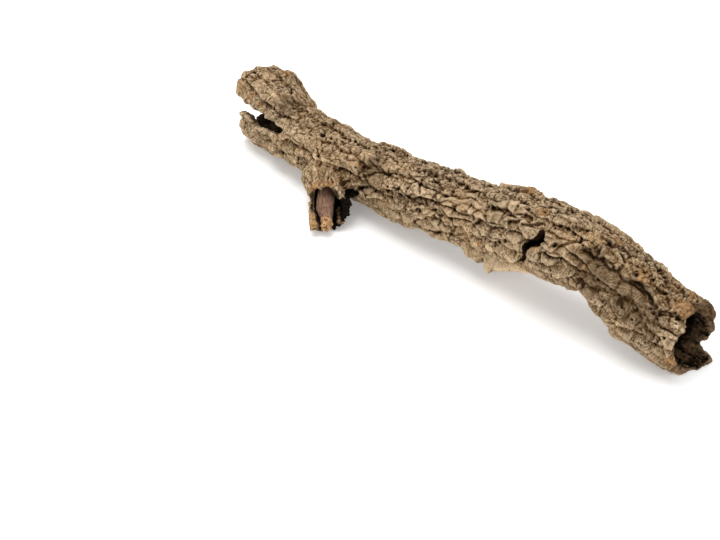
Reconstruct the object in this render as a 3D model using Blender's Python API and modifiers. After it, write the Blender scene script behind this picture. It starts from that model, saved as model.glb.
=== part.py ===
# Cork branch: a hollow, forked piece of cork oak bark that lies on a flat surface.
# Metres, +Z up. +X runs from the arm's open end to the stem's, the stub points to -Y and +X,
# and the branch rests on z = 0. An angle round a limb is 0 at its front (-Y), 90 on top, 180 behind.

import math

import bpy
import numpy as np

BRANCH = "cork_branch"

# Centreline stations: x, y, z and the outer radius there
TRUNK_STATIONS = (
    (-0.2380, 0.0260, 0.0310, 0.0325),
    (-0.2000, 0.0180, 0.0285, 0.0300),
    (-0.1470, 0.0100, 0.0270, 0.0275),
    (-0.0940, 0.0085, 0.0300, 0.0262),
    (-0.0470, 0.0095, 0.0335, 0.0275),
    (0.0020, 0.0145, 0.0375, 0.0275),
    (0.0570, 0.0170, 0.0460, 0.0280),
    (0.1090, 0.0185, 0.0540, 0.0300),
    (0.1510, 0.0225, 0.0530, 0.0300),
    (0.1850, 0.0210, 0.0440, 0.0300),
    (0.2130, 0.0215, 0.0335, 0.0290),
    (0.2285, 0.0245, 0.0285, 0.0288),
)
STUB_STATIONS = (
    (-0.1310, 0.0110, 0.0260, 0.0235),
    (-0.1120, -0.0090, 0.0245, 0.0200),
    (-0.0945, -0.0265, 0.0210, 0.0175),
    (-0.0785, -0.0415, 0.0170, 0.0170),
)

# Bark thickness
TRUNK_WALL = 0.0090
STUB_WALL = 0.0055

# How far each broken rim reaches past its end station, at angles round it
ARM_RIM = (
    (0, -0.019), (45, 0.007), (80, 0.008), (105, 0.002), (135, 0.001), (180, 0.003), (225, 0.003),
    (270, 0.008), (315, -0.012),
)
STEM_RIM = (
    (0, 0.006), (20, 0.003), (50, 0.006), (72, -0.001), (95, -0.002), (125, 0.002), (147, 0.0095),
    (180, 0.0165), (204, 0.0180), (213, 0.0120), (226, 0.0250), (235, 0.0280), (255, 0.0270), (270, 0.0235),
    (300, 0.0140), (337, 0.0115),
)
STUB_RIM = (
    (0, -0.016), (25, -0.020), (60, -0.015), (90, -0.016), (112, -0.012), (130, -0.005), (150, -0.009),
    (180, 0.001), (225, 0.005), (270, 0.006), (312, 0.012), (330, 0.013), (345, 0.004),
)
RIM_INSET = 0.5
RIM_FADE = 0.040
RIM_RAGGED = 0.0022
RIM_RAG_SIZE = 0.011

# Where the fork is parted into its limbs, and the gap between touching limbs
ARM_PLANE_X = -0.157
STUB_PLANE_Y = -0.0245
STUB_BESIDE_X = -0.035
LIMB_GAP = 0.0003

# Slots through the bark: distance along the trunk, angle and half width at each point of the path
ARM_SLIT = (
    (-0.020, 15, 0.0056),
    (0.012, 17, 0.0050),
    (0.019, 21, 0.0034),
    (0.025, 23, 0.0036),
    (0.031, 20, 0.0052),
    (0.037, 19, 0.0062),
    (0.043, 21, 0.0056),
    (0.048, 25, 0.0046),
    (0.057, 27, 0.0036),
    (0.065, 29, 0.0028),
    (0.074, 34, 0.0010),
)
STEP_CRACK = (
    (0.356, 44, 0.0012),
    (0.357, 36, 0.0018),
    (0.355, 27, 0.0019),
    (0.349, 21, 0.0022),
    (0.347, 12, 0.0013),
    (0.346, -5, 0.0011),
    (0.341, -20, 0.0010),
)
MOUTH_SLIT = ((0.464, 98, 0.0012), (0.478, 97, 0.0024), (0.520, 96, 0.0034))

# How deep the slots go, and how far a cutter stands clear of the bark
SLOT_DEPTH = 0.016
SLOT_CLEAR = 0.012

# Edges of the largest plates: how far the plate on the left of the path stands over its neighbour, how
# deep the crack along it is, and the path as distance along the trunk and angle
PLATE_EDGES = (
    (0.0016, 0.0016, ((0.171, 34), (0.168, 40), (0.164, 49), (0.159, 60), (0.150, 64))),
    (0.0000, 0.0024, ((0.171, 34), (0.175, 27), (0.182, 16))),
    (0.0013, 0.0020, ((0.161, -15), (0.168, -2), (0.174, 9), (0.182, 16), (0.189, 14), (0.206, 13))),
    (0.0011, 0.0018, ((0.169, 65), (0.176, 58), (0.184, 55), (0.196, 52), (0.203, 50), (0.210, 48))),
    (0.0020, 0.0020, ((0.212, 34), (0.218, 29), (0.225, 28), (0.232, 31), (0.241, 35), (0.255, 32))),
    (0.0000, 0.0020, ((0.253, 29), (0.262, 19), (0.269, 14), (0.272, 3), (0.273, -4), (0.267, -21))),
    (0.0000, 0.0020, ((0.263, 18), (0.258, 11), (0.256, 0), (0.255, -15))),
    (0.0008, 0.0014, ((0.224, 3), (0.231, 9), (0.237, 9), (0.242, 4), (0.250, -2))),
    (0.0012, 0.0018, ((0.269, 33), (0.277, 31), (0.289, 30), (0.296, 31))),
    (0.0020, 0.0022, ((0.294, 12), (0.294, 20), (0.299, 29), (0.309, 24), (0.317, 26), (0.325, 30))),
    (0.0016, 0.0020, ((0.325, 37), (0.327, 43), (0.331, 45), (0.337, 49))),
    (0.0012, 0.0016, ((0.337, 43), (0.344, 45), (0.349, 53), (0.355, 59))),
    (0.0020, 0.0024, ((0.357, 17), (0.370, 15), (0.379, 21), (0.388, 19), (0.393, 18), (0.404, 22))),
    (0.0016, 0.0020, ((0.369, -14), (0.378, -12), (0.385, -7), (0.390, 2), (0.391, 12))),
    (0.0020, 0.0024, ((0.385, 52), (0.391, 50), (0.399, 47), (0.405, 55), (0.413, 51), (0.419, 59),
                      (0.417, 71))),
    (0.0000, 0.0022, ((0.400, 49), (0.400, 57), (0.399, 64))),
    (0.0012, 0.0016, ((0.373, 66), (0.377, 71), (0.386, 77))),
    (0.0000, 0.0022, ((0.407, 84), (0.413, 78), (0.419, 74))),
    (0.0022, 0.0020, ((0.433, 93), (0.429, 100), (0.422, 104), (0.412, 107), (0.402, 108))),
    (0.0024, 0.0026, ((0.420, 61), (0.426, 56), (0.435, 65), (0.445, 64), (0.450, 60), (0.453, 51),
                      (0.460, 44))),
    (0.0013, 0.0020, ((0.453, 16), (0.457, 8), (0.461, 4), (0.469, -1))),
    (0.0000, 0.0022, ((0.467, 25), (0.467, 15), (0.468, 2))),
    (0.0008, 0.0024, ((0.471, 97), (0.464, 97), (0.457, 101), (0.445, 104))),
    (0.0000, 0.0026, ((0.393, 0), (0.399, -1), (0.405, -7))),
    (0.0034, 0.0030, ((0.500, 92), (0.450, 88), (0.425, 92), (0.400, 84), (0.388, 84), (0.381, 87),
                      (0.372, 80), (0.364, 80), (0.348, 82), (0.322, 76))),
    (0.0020, 0.0030, ((0.268, -54), (0.290, -47), (0.304, -50), (0.315, -40), (0.331, -27), (0.346, -18))),
)
EDGE_LIP = 0.0055
EDGE_FALL = 0.0080
EDGE_FALL_SHARE = 1.5
EDGE_CRACK = 0.0010
EDGE_REACH = 3.0 * EDGE_FALL
EDGE_END_SHARE = 0.12
EDGE_WAVES = ((0.0010, 0.0070), (0.0016, 0.0200))

# The loose plate under the stem's belly, thick at its start and run out at its end: where it lies along
# the trunk, between which angles it rises at each side, its height and its steep end
BELLY_PLATE_SPAN = (0.2925, 0.348)
BELLY_PLATE_RISE = (-112, -92, -66, -46)
BELLY_PLATE_HEIGHT = 0.0150
BELLY_PLATE_THINNING = 1.3
BELLY_PLATE_EDGE = 0.0030
BELLY_PLATE_CALM = 0.75

# Broad swellings and hollows: distance along, angle, length, width and height
SWELLINGS = (
    (0.022, -40, 0.020, 0.016, 0.0008),
    (0.014, 132, 0.016, 0.016, 0.0040),
    (0.067, 132, 0.016, 0.014, -0.0030),
    (0.080, -50, 0.015, 0.014, -0.0048),
    (0.152, -52, 0.012, 0.013, -0.0045),
    (0.160, -22, 0.010, 0.008, 0.0030),
    (0.170, 130, 0.014, 0.012, 0.0025),
    (0.207, 60, 0.006, 0.006, 0.0022),
    (0.262, 130, 0.018, 0.014, -0.0022),
    (0.286, -62, 0.008, 0.012, 0.0095),
    (0.318, 126, 0.011, 0.009, 0.0035),
    (0.400, -42, 0.013, 0.016, -0.0060),
    (0.440, -42, 0.014, 0.014, 0.0030),
    (0.425, 110, 0.016, 0.014, 0.0012),
    (0.480, 128, 0.024, 0.020, 0.0056),
    (0.470, 74, 0.008, 0.007, 0.0026),
    (0.440, 40, 0.020, 0.014, -0.0016),
)

STUB_SWELLINGS = (
    (0.038, 5, 0.012, 0.012, 0.0045),
    (0.062, 175, 0.010, 0.010, 0.0016),
)

# Holes and pits in the bark: distance along, angle and radius
PITS = (
    (0.051, 55, 0.0018),
    (0.060, 90, 0.0022),
    (0.066, 77, 0.0015),
    (0.086, 23, 0.0016),
    (0.100, -26, 0.0026),
    (0.113, 68, 0.0024),
    (0.123, 66, 0.0018),
    (0.154, -25, 0.0036),
    (0.155, 127, 0.0026),
    (0.158, 11, 0.0020),
    (0.163, -10, 0.0032),
    (0.171, 2, 0.0026),
    (0.172, 107, 0.0022),
    (0.195, 54, 0.0020),
    (0.210, 33, 0.0024),
    (0.212, 22, 0.0024),
    (0.234, 85, 0.0024),
    (0.240, 73, 0.0018),
    (0.249, 82, 0.0020),
    (0.257, 48, 0.0022),
    (0.270, 34, 0.0028),
    (0.292, 74, 0.0020),
    (0.301, 83, 0.0020),
    (0.311, 57, 0.0018),
    (0.327, 8, 0.0020),
    (0.337, 69, 0.0020),
    (0.368, 34, 0.0018),
    (0.384, 56, 0.0022),
    (0.400, 77, 0.0026),
    (0.423, 3, 0.0020),
    (0.429, 70, 0.0028),
    (0.452, 52, 0.0024),
    (0.471, 61, 0.0024),
    (0.471, 25, 0.0018),
)
PIT_DEPTH_SHARE = 1.6

# Bark: rows of plates that run along the limb, parted by furrows, each row cut across into blocks
ROW_LENGTH = 0.060
ROW_COUNT = 13
ROW_JITTER = (0.90, 0.60)
BLOCK_LENGTH = 0.019
BLOCK_JITTER = 0.8
FURROW_DEPTH = 0.0036
CRACK_DEPTH = 0.0022
FURROW_ROUNDING = 0.0032
CRACK_ROUNDING = 0.0023
FURROW_LEVEL = 0.30
FURROW_RUN = (0.35, 0.9)
CRACK_LEVEL = 0.25
ROW_STEP = 0.0020
ROW_TILT = -0.0022
BLOCK_STEP = 0.0018
HEALED = (0.15, 0.026)
HEALED_SPAN = (-0.35, 0.45)

# Bends of the rows and lumps of the bark: height or shift, then size
DRIFT = (0.0060, 0.030)
WANDER = (0.0050, 0.018)
FLOW = (0.0060, 0.070)
LUMPS = (0.0022, 0.048)
KNOBS = (0.0008, 0.0130)
CRUMBS = (0.0006, 0.0075)
HOLLOW_LUMPS = (0.0012, 0.012)
UNROLLED_RADIUS = 0.0285

# The stub's bark is finer; it takes over from the trunk's within this reach outside the trunk
STUB_RELIEF = 0.6
STUB_TAKES_OVER = 0.010
STUB_STARTS = 0.015

# How the relief fades through the wall, from the hollow's side to the bark's
SKIN_FADE = (-0.0015, 0.0020)
TRUNK_SEED = 11
STUB_SEED = 29

# The stub's old wood: distance along the stub's axis, how far to its front, depth under it and half width
CORE_STATIONS = (
    (0.032, 0.0000, 0.0010, 0.0065),
    (0.047, 0.0010, 0.0012, 0.0082),
    (0.058, 0.0018, 0.0016, 0.0080),
    (0.066, 0.0024, 0.0022, 0.0084),
    (0.071, 0.0026, 0.0030, 0.0078),
    (0.075, 0.0014, 0.0042, 0.0060),
    (0.079, 0.0014, 0.0050, 0.0052),
    (0.083, 0.0016, 0.0056, 0.0060),
    (0.088, 0.0018, 0.0066, 0.0046),
)
CORE_RIBS = 3.0
CORE_RIB_HEIGHT = 0.12
CORE_TWIST = 90.0

# Faceting
CENTRELINE_STEPS = 400
RING_SPACING = 0.006
TRUNK_SIDES = 72
STUB_SIDES = 48
TRUNK_HOLLOW_SIDES = 24
STUB_HOLLOW_SIDES = 20
CORE_SIDES = 12
VOXEL = 0.0018
SMOOTH_STEPS = 2
LIMB_TRIANGLES = 7800

# Cutters reach this far past the ends of a hollow, and this far from the branch
HOLLOW_PAST = 0.045
STUB_HOLLOW_START = 0.002
FAR = 0.4

COLOURS = {
    "bark": (0.30, 0.235, 0.165, 1.0),
    "old_wood": (0.150, 0.105, 0.085, 1.0),
}


# Numbers

def smooth_step(low, high, value):
    t = np.clip((value - low) / (high - low), 0.0, 1.0)
    return t * t * (3.0 - 2.0 * t)


def hashed(i, j, k, seed):
    """A fixed number from 0 to 1 for each lattice point."""
    n = (i.astype(np.int64) * 73856093 + j.astype(np.int64) * 19349663
         + k.astype(np.int64) * 83492791 + seed * 97531).astype(np.uint32)
    n = (n ^ (n >> np.uint32(15))) * np.uint32(2246822519)
    n = (n ^ (n >> np.uint32(13))) * np.uint32(3266489917)
    n = n ^ (n >> np.uint32(16))
    return n.astype(np.float64) / 4294967295.0


def noise(points, size, seed):
    """Gradient noise, about -1 to 1, with lumps of the given size."""
    place = points / size
    cell = np.floor(place).astype(np.int64)
    inside = place - cell
    ease = inside ** 3 * (inside * (inside * 6.0 - 15.0) + 10.0)
    total = np.zeros(len(points))
    for corner in np.ndindex(2, 2, 2):
        lattice = cell + corner
        weight = np.ones(len(points))
        pull = np.zeros(len(points))
        for axis in range(3):
            weight *= ease[:, axis] if corner[axis] else 1.0 - ease[:, axis]
            gradient = hashed(*lattice.T, seed * 3 + axis) * 2.0 - 1.0
            pull += gradient * (inside[:, axis] - corner[axis])
        total += weight * pull
    return np.clip(total * 1.6, -1.0, 1.0)


def turn_between(angle, degrees):
    """The angle from a direction given in degrees, from half a turn back to half a turn on."""
    return (angle - np.radians(degrees) + math.pi) % (2.0 * math.pi) - math.pi


# Limbs

class Limb:
    """A smooth centreline through stations, with its outer radius, and places measured round it."""

    def __init__(self, stations):
        table = np.array(stations)
        chord = np.linalg.norm(np.diff(table[:, :3], axis=0), axis=1)
        at = np.concatenate([[0.0], np.cumsum(chord)])
        slope = np.gradient(table, at, axis=0)
        fine = np.linspace(0.0, at[-1], CENTRELINE_STEPS)
        span = np.clip(np.searchsorted(at, fine, side="right") - 1, 0, len(at) - 2)
        width = (at[span + 1] - at[span])[:, None]
        t = (fine - at[span])[:, None] / width
        curve = (2 * t ** 3 - 3 * t ** 2 + 1) * table[span] + (3 * t ** 2 - 2 * t ** 3) * table[span + 1]
        curve += ((t ** 3 - 2 * t ** 2 + t) * slope[span] + (t ** 3 - t ** 2) * slope[span + 1]) * width
        self.middle = curve[:, :3]
        self.radius = curve[:, 3]
        step = np.linalg.norm(np.diff(self.middle, axis=0), axis=1)
        self.at = np.concatenate([[0.0], np.cumsum(step)])
        self.length = self.at[-1]
        self.along = np.gradient(self.middle, self.at, axis=0)
        self.along /= np.linalg.norm(self.along, axis=1)[:, None]
        self.front = np.cross(self.along, (0.0, 0.0, 1.0))
        self.front /= np.linalg.norm(self.front, axis=1)[:, None]
        self.top = np.cross(self.front, self.along)

    def radius_at(self, at):
        return np.interp(at, self.at, self.radius)

    def place(self, at, angle, out):
        """Points at a distance along, an angle round and a distance out from the centreline."""
        past = at - np.clip(at, 0.0, self.length)
        middle, along, front, top = (
            np.stack([np.interp(at, self.at, row[:, i]) for i in range(3)], axis=-1)
            for row in (self.middle, self.along, self.front, self.top))
        side = front * np.cos(angle)[..., None] + top * np.sin(angle)[..., None]
        return middle + along * past[..., None] + side * out[..., None]

    def locate(self, points):
        """The distance along, the angle round and the distance out of each point."""
        nearest = np.empty(len(points), dtype=int)
        for start in range(0, len(points), 20000):
            block = points[start:start + 20000]
            gap = ((block[:, None, :] - self.middle[None, ::4, :]) ** 2).sum(axis=2)
            nearest[start:start + 20000] = gap.argmin(axis=1) * 4
        offset = points - self.middle[nearest]
        ahead = (offset * self.along[nearest]).sum(axis=1)
        at = self.at[nearest] + ahead
        near = np.clip(np.searchsorted(self.at, at), 0, len(self.at) - 1)
        offset = points - self.middle[near]
        across = (offset * self.front[near]).sum(axis=1)
        up = (offset * self.top[near]).sum(axis=1)
        return at, np.arctan2(up, across), np.hypot(across, up)


def rim_reach(rim, angle, seed):
    """How far a broken rim stands past its station: the given reaches, made ragged."""
    table = np.array(rim)
    reach = np.interp(np.degrees(angle), table[:, 0], table[:, 1], period=360.0)
    ring = np.stack([np.cos(angle), np.sin(angle), np.full_like(angle, float(seed))], axis=-1)
    rag = noise(ring.reshape(-1, 3) * UNROLLED_RADIUS, RIM_RAG_SIZE, seed).reshape(angle.shape)
    return reach + rag * RIM_RAGGED


# Meshes

def mesh_object(name, vertices, faces, collection):
    mesh = bpy.data.meshes.new(name)
    mesh.from_pydata([tuple(v) for v in vertices], [], faces)
    mesh.update()
    made = bpy.data.objects.new(name, mesh)
    collection.objects.link(made)
    return made


def loft(name, rings, collection):
    """A closed solid through rings of points, its two ends closed by fans."""
    count, sides, _ = rings.shape
    vertices = list(rings.reshape(-1, 3)) + [rings[0].mean(axis=0), rings[-1].mean(axis=0)]
    faces = []
    for i in range(count - 1):
        for j in range(sides):
            a, b = i * sides + j, i * sides + (j + 1) % sides
            faces.append((a, b, b + sides, a + sides))
    last = (count - 1) * sides
    for j in range(sides):
        faces.append((count * sides, (j + 1) % sides, j))
        faces.append((count * sides + 1, last + j, last + (j + 1) % sides))
    return mesh_object(name, vertices, faces, collection)


def limb_solid(name, limb, shrink, start, end, start_rim, end_rim, sides, collection):
    """A limb's full round solid, drawn in by shrink, between two distances and its broken rims."""
    count = int((end - start) / RING_SPACING)
    angle = np.linspace(0.0, 2.0 * math.pi, sides, endpoint=False)[None, :].repeat(count, axis=0)
    at = np.linspace(start, end, count)[:, None].repeat(sides, axis=1)
    near_start = np.clip(1.0 - (at - start) / RIM_FADE, 0.0, 1.0)
    near_end = np.clip(1.0 - (end - at) / RIM_FADE, 0.0, 1.0)
    moved = at.copy()
    if start_rim:
        moved -= near_start * rim_reach(start_rim, angle, 3)
    if end_rim:
        moved += near_end * rim_reach(end_rim, angle, 5)
    out = limb.radius_at(moved) - shrink
    rings = limb.place(moved, angle, out)
    inner = limb.place(moved[[0, -1]], angle[[0, -1]], out[[0, -1]] * RIM_INSET)
    return loft(name, np.concatenate([inner[:1], rings, inner[1:]])[:, ::-1], collection)


def slot_solid(name, limb, path, depth, collection):
    """A cutter along a path on the bark, from depth under its surface to clear outside it."""
    rows = []
    table = np.array(path)
    at, angle, half = table[:, 0], np.radians(table[:, 1]), table[:, 2]
    radius = limb.radius_at(at)
    course = np.gradient(np.stack([at, angle * radius], axis=1), axis=0)
    course /= np.linalg.norm(course, axis=1)[:, None]
    for side, level in ((-1, -depth), (1, -depth), (1, SLOT_CLEAR), (-1, SLOT_CLEAR)):
        shifted = at - course[:, 1] * half * side
        turned = angle + course[:, 0] * half * side / radius
        rows.append(limb.place(shifted, turned, radius + level))
    return loft(name, np.stack(rows, axis=1), collection)


def box_solid(name, low, high, collection):
    corners = [(x, y, z) for x in (low[0], high[0]) for y in (low[1], high[1]) for z in (low[2], high[2])]
    faces = [(0, 1, 3, 2), (4, 6, 7, 5), (0, 4, 5, 1), (2, 3, 7, 6), (0, 2, 6, 4), (1, 5, 7, 3)]
    return mesh_object(name, corners, faces, collection)


def settle(thing):
    """Gives the object the mesh that its modifiers make, and clears them."""
    graph = bpy.context.evaluated_depsgraph_get()
    mesh = bpy.data.meshes.new_from_object(thing.evaluated_get(graph))
    thing.modifiers.clear()
    thing.data = mesh


def boolean(thing, operation, other):
    step = thing.modifiers.new(operation.title(), "BOOLEAN")
    step.operation = operation
    step.object = other


def remesh(thing, size):
    step = thing.modifiers.new("Remesh", "REMESH")
    step.mode = "VOXEL"
    step.voxel_size = size


def smooth(thing, factor, steps):
    step = thing.modifiers.new("Smooth", "SMOOTH")
    step.factor = factor
    step.iterations = steps


def decimate(thing, triangles):
    thing.data.calc_loop_triangles()
    step = thing.modifiers.new("Decimate", "DECIMATE")
    step.ratio = min(1.0, triangles / len(thing.data.loop_triangles))


def vectors_of(mesh, name):
    flat = np.empty(len(mesh.vertices) * 3, dtype=np.float32)
    mesh.vertices.foreach_get(name, flat)
    return flat.reshape(-1, 3).astype(float)


def move_points(mesh, points):
    mesh.vertices.foreach_set("co", points.astype(np.float32).ravel())
    mesh.update()


# Bark relief

def rows(at, angle, seed):
    """Long cells of the unrolled bark: how far each point is from its row's edge, how much that edge
    runs along the limb, from 0 to 1, a fixed number for the row, and the place across it."""
    width = 2.0 * math.pi * UNROLLED_RADIUS / ROW_COUNT
    here = np.stack([at / ROW_LENGTH, angle / (2.0 * math.pi) * ROW_COUNT], axis=1)
    base = np.floor(here).astype(np.int64)
    zero = np.zeros(len(at), dtype=np.int64)

    def centre(di, dj):
        i, j = base[:, 0] + di, base[:, 1] + dj
        wrapped = j % ROW_COUNT
        x = i + 0.5 + ROW_JITTER[0] * (hashed(i, wrapped, zero, seed) - 0.5)
        y = j + 0.5 + ROW_JITTER[1] * (hashed(i, wrapped, zero + 1, seed) - 0.5)
        return np.stack([x, y], axis=1) - here, hashed(i, wrapped, zero + 2, seed)

    nearest = np.full(len(at), 9.0)
    own = np.zeros((len(at), 2))
    value = np.zeros(len(at))
    for di in (-1, 0, 1):
        for dj in (-1, 0, 1):
            gap, number = centre(di, dj)
            far = (gap ** 2).sum(axis=1)
            closer = far < nearest
            nearest = np.where(closer, far, nearest)
            own[closer] = gap[closer]
            value = np.where(closer, number, value)
    edge = np.full(len(at), 1.0)
    lengthwise = np.zeros(len(at))
    for di in (-2, -1, 0, 1, 2):
        for dj in (-2, -1, 0, 1, 2):
            gap, _ = centre(di, dj)
            between = gap - own
            size = np.linalg.norm(between, axis=1)
            other = size > 1e-6
            unit = between / np.where(other, size, 1.0)[:, None]
            real = np.hypot(unit[:, 0] / ROW_LENGTH, unit[:, 1] / width)
            far = ((own + gap) * 0.5 * unit).sum(axis=1) / np.where(other, real, 1.0)
            closer = other & (far < edge)
            edge = np.where(closer, far, edge)
            across = np.abs(unit[:, 1] / width) / np.where(other, real, 1.0)
            lengthwise = np.where(closer, across, lengthwise)
    return edge, lengthwise, value, -own[:, 1]


def blocks(at, row, seed):
    """The cuts across one row: how far each point is from the nearest, and its block's fixed number."""
    place = at / BLOCK_LENGTH + row * 57.0
    cell = np.floor(place).astype(np.int64)
    row_key = (row * 4096.0).astype(np.int64)
    zero = np.zeros(len(at), dtype=np.int64)

    def cut(step):
        return cell + step + BLOCK_JITTER * (hashed(cell + step, row_key, zero, seed) - 0.5)

    edge = np.full(len(at), 1.0)
    first = cell.copy()
    for step in (-1, 0, 1, 2):
        line = cut(step)
        edge = np.minimum(edge, np.abs(place - line) * BLOCK_LENGTH)
        first = np.where(line <= place, cell + step, first)
    return edge, hashed(first, row_key, zero + 1, seed)


def beside(path, at, angle):
    """How far each point is from a path on the unrolled bark, above 0 on its left, and how far along the
    path its nearest place is, from 0 to 1."""
    table = np.array(path, dtype=float)
    line = np.stack([table[:, 0], np.radians(table[:, 1] - table[0, 1]) * UNROLLED_RADIUS], axis=1)
    here = np.stack([at, turn_between(angle, table[0, 1]) * UNROLLED_RADIUS], axis=1)
    length = np.linalg.norm(np.diff(line, axis=0), axis=1)
    passed = np.concatenate([[0.0], np.cumsum(length)])
    nearest = np.full(len(at), np.inf)
    gap = np.zeros(len(at))
    share = np.zeros(len(at))
    for i, size in enumerate(length):
        course = (line[i + 1] - line[i]) / size
        offset = here - line[i]
        ahead = np.clip(offset @ course, 0.0, size)
        side = course[0] * offset[:, 1] - course[1] * offset[:, 0]
        far = np.linalg.norm(offset - ahead[:, None] * course, axis=1)
        rank = far - 0.01 * np.abs(side)
        closer = rank < nearest
        nearest = np.where(closer, rank, nearest)
        gap = np.where(closer, np.where(side < 0.0, -far, far), gap)
        share = np.where(closer, (passed[i] + ahead) / passed[-1], share)
    return gap, share


def waved(at, angle):
    """The same places shifted a little to and fro, so that a traced line isn't smooth."""
    log = straightened(at, angle)
    for step, (reach, size) in enumerate(EDGE_WAVES):
        at = at + reach * noise(log, size, 81 + step)
        angle = angle + reach * noise(log, size, 85 + step) / UNROLLED_RADIUS
    return at, angle


def near_edge(path, at, angle):
    """Which points are near a plate's edge, how far beside it they are, and a fade to 0 at its ends."""
    span = [along for along, _ in path]
    near = np.flatnonzero((at > min(span) - EDGE_REACH) & (at < max(span) + EDGE_REACH))
    gap, share = beside(path, at[near], angle[near])
    fade = smooth_step(0.0, EDGE_END_SHARE, share) * (1.0 - smooth_step(1.0 - EDGE_END_SHARE, 1.0, share))
    return near, gap, fade


def plate_edges(at, angle):
    """The steps and cracks along the edges of the largest plates."""
    at, angle = waved(at, angle)
    height = np.zeros(len(at))
    for rise, crack, path in PLATE_EDGES:
        near, gap, fade = near_edge(path, at, angle)
        lip = np.exp(-(gap / EDGE_LIP) ** 2) * (gap > 0.0)
        fall = np.exp(-np.abs(gap) / EDGE_FALL) * (gap <= 0.0)
        groove = crack * np.exp(-(gap / EDGE_CRACK) ** 2)
        height[near] += fade * (rise * (lip - EDGE_FALL_SHARE * fall) - groove)
    return height


def belly_plate(at, angle):
    """How much of the loose plate under the stem there is at each point, from 0 to 1, and its height."""
    start, end = BELLY_PLATE_SPAN
    low, low_full, high_full, high = BELLY_PLATE_RISE
    degrees = np.degrees(angle)
    share = smooth_step(start, start + BELLY_PLATE_EDGE, at) * (at < end)
    share *= smooth_step(low, low_full, degrees) * (1.0 - smooth_step(high_full, high, degrees))
    left = np.clip((end - at) / (end - start), 0.0, 1.0)
    return share, BELLY_PLATE_HEIGHT * share * left ** BELLY_PLATE_THINNING


def swellings(places, at, angle, radius):
    height = np.zeros(len(at))
    for along, turn, length, width, rise in places:
        across = turn_between(angle, turn) * radius
        height += rise * np.exp(-((at - along) / length) ** 2 - (across / width) ** 2)
    return height


def spots(places, at, angle, radius):
    """Each spot's nearness, from 1 at its middle to 0 outside it, with the spots' own radii."""
    near = np.zeros(len(at))
    size_there = np.zeros(len(at))
    for along, turn, size in places:
        far = np.hypot(at - along, turn_between(angle, turn) * radius) / size
        own = np.exp(-far ** 4)
        size_there = np.where(own > near, size, size_there)
        near = np.maximum(near, own)
    return near, size_there


def straightened(at, angle):
    """Places on a straight round log, so that the bark's pattern doesn't hang on the limb's bends."""
    return np.stack([at, UNROLLED_RADIUS * np.cos(angle), UNROLLED_RADIUS * np.sin(angle)], axis=1)


class Plates:
    """Which plate of bark each point is on, and how far it is from the plate's edges."""

    def __init__(self, at, angle, seed):
        self.log = straightened(at, angle)
        line = np.stack([at, at * 0.0, at * 0.0], axis=1)
        drift = DRIFT[0] * noise(self.log, DRIFT[1], seed + 1)
        wander = WANDER[0] * noise(self.log, WANDER[1], seed + 2)
        flow = FLOW[0] * noise(line, FLOW[1], seed + 3)
        turned = angle + (wander + flow) / UNROLLED_RADIUS
        self.edge, self.lengthwise, self.row, self.across = rows(at + drift, turned, seed)
        self.cut, self.block = blocks(at + drift * 0.5 + wander * 0.3, self.row, seed)


def main_relief(at, angle, seed):
    """Height of the bark over a limb's plain surface."""
    plates = Plates(at, angle, seed)
    openness = noise(plates.log, HEALED[1], seed + 6)
    open_share = HEALED[0] + (1.0 - HEALED[0]) * smooth_step(*HEALED_SPAN, openness)
    depth = CRACK_DEPTH + (FURROW_DEPTH - CRACK_DEPTH) * smooth_step(*FURROW_RUN, plates.lengthwise)
    height = (FURROW_LEVEL - np.exp(-plates.edge / FURROW_ROUNDING)) * depth * open_share
    height += (CRACK_LEVEL - np.exp(-plates.cut / CRACK_ROUNDING)) * CRACK_DEPTH * open_share
    height += (plates.row - 0.5) * ROW_STEP + (plates.block - 0.5) * BLOCK_STEP + plates.across * ROW_TILT
    height += LUMPS[0] * noise(plates.log, LUMPS[1], seed + 4)
    height += KNOBS[0] * noise(plates.log, KNOBS[1], seed + 7)
    height += CRUMBS[0] * noise(plates.log, CRUMBS[1], seed + 5)
    return height


# Where a point is on the branch

class Skin:
    """Each point's place on the trunk and on the stub, and how much of it is stub, bark and hollow."""

    def __init__(self, points, trunk, stub):
        self.at, self.angle, out = trunk.locate(points)
        self.stub_at, self.stub_angle, stub_out = stub.locate(points)
        self.radius = trunk.radius_at(self.at)
        self.stub_radius = stub.radius_at(self.stub_at)
        proud = out - self.radius
        stub_proud = stub_out - self.stub_radius
        self.stub_share = smooth_step(0.0, STUB_TAKES_OVER, proud) * (self.stub_at > STUB_STARTS)
        from_middle = (proud + TRUNK_WALL * 0.5) * (1.0 - self.stub_share)
        from_middle += (stub_proud + STUB_WALL * 0.5) * self.stub_share
        self.outside = smooth_step(*SKIN_FADE, from_middle)

    def blend(self, relief):
        """The relief of the trunk and, where it counts, of the stub."""
        height = relief(self.at, self.angle, TRUNK_SEED)
        on_stub = self.stub_share > 0.0
        finer = STUB_RELIEF * relief(self.stub_at[on_stub], self.stub_angle[on_stub], STUB_SEED)
        share = self.stub_share[on_stub]
        height[on_stub] = height[on_stub] * (1.0 - share) + finer * share
        return height


def own_features(skin):
    """The trunk's own steps, swellings, pits and loose plate, and the stub's swellings."""
    height = plate_edges(skin.at, skin.angle) + swellings(SWELLINGS, skin.at, skin.angle, skin.radius)
    near, size = spots(PITS, skin.at, skin.angle, skin.radius)
    height -= near * size * PIT_DEPTH_SHARE
    height += belly_plate(skin.at, skin.angle)[1]
    on_stub = swellings(STUB_SWELLINGS, skin.stub_at, skin.stub_angle, skin.stub_radius)
    return height * (1.0 - skin.stub_share) + on_stub * skin.stub_share


def whole_relief(skin):
    """Height of the outer surface over the plain limbs."""
    calm = 1.0 - BELLY_PLATE_CALM * belly_plate(skin.at, skin.angle)[0]
    return skin.blend(main_relief) * calm + own_features(skin)


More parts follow.
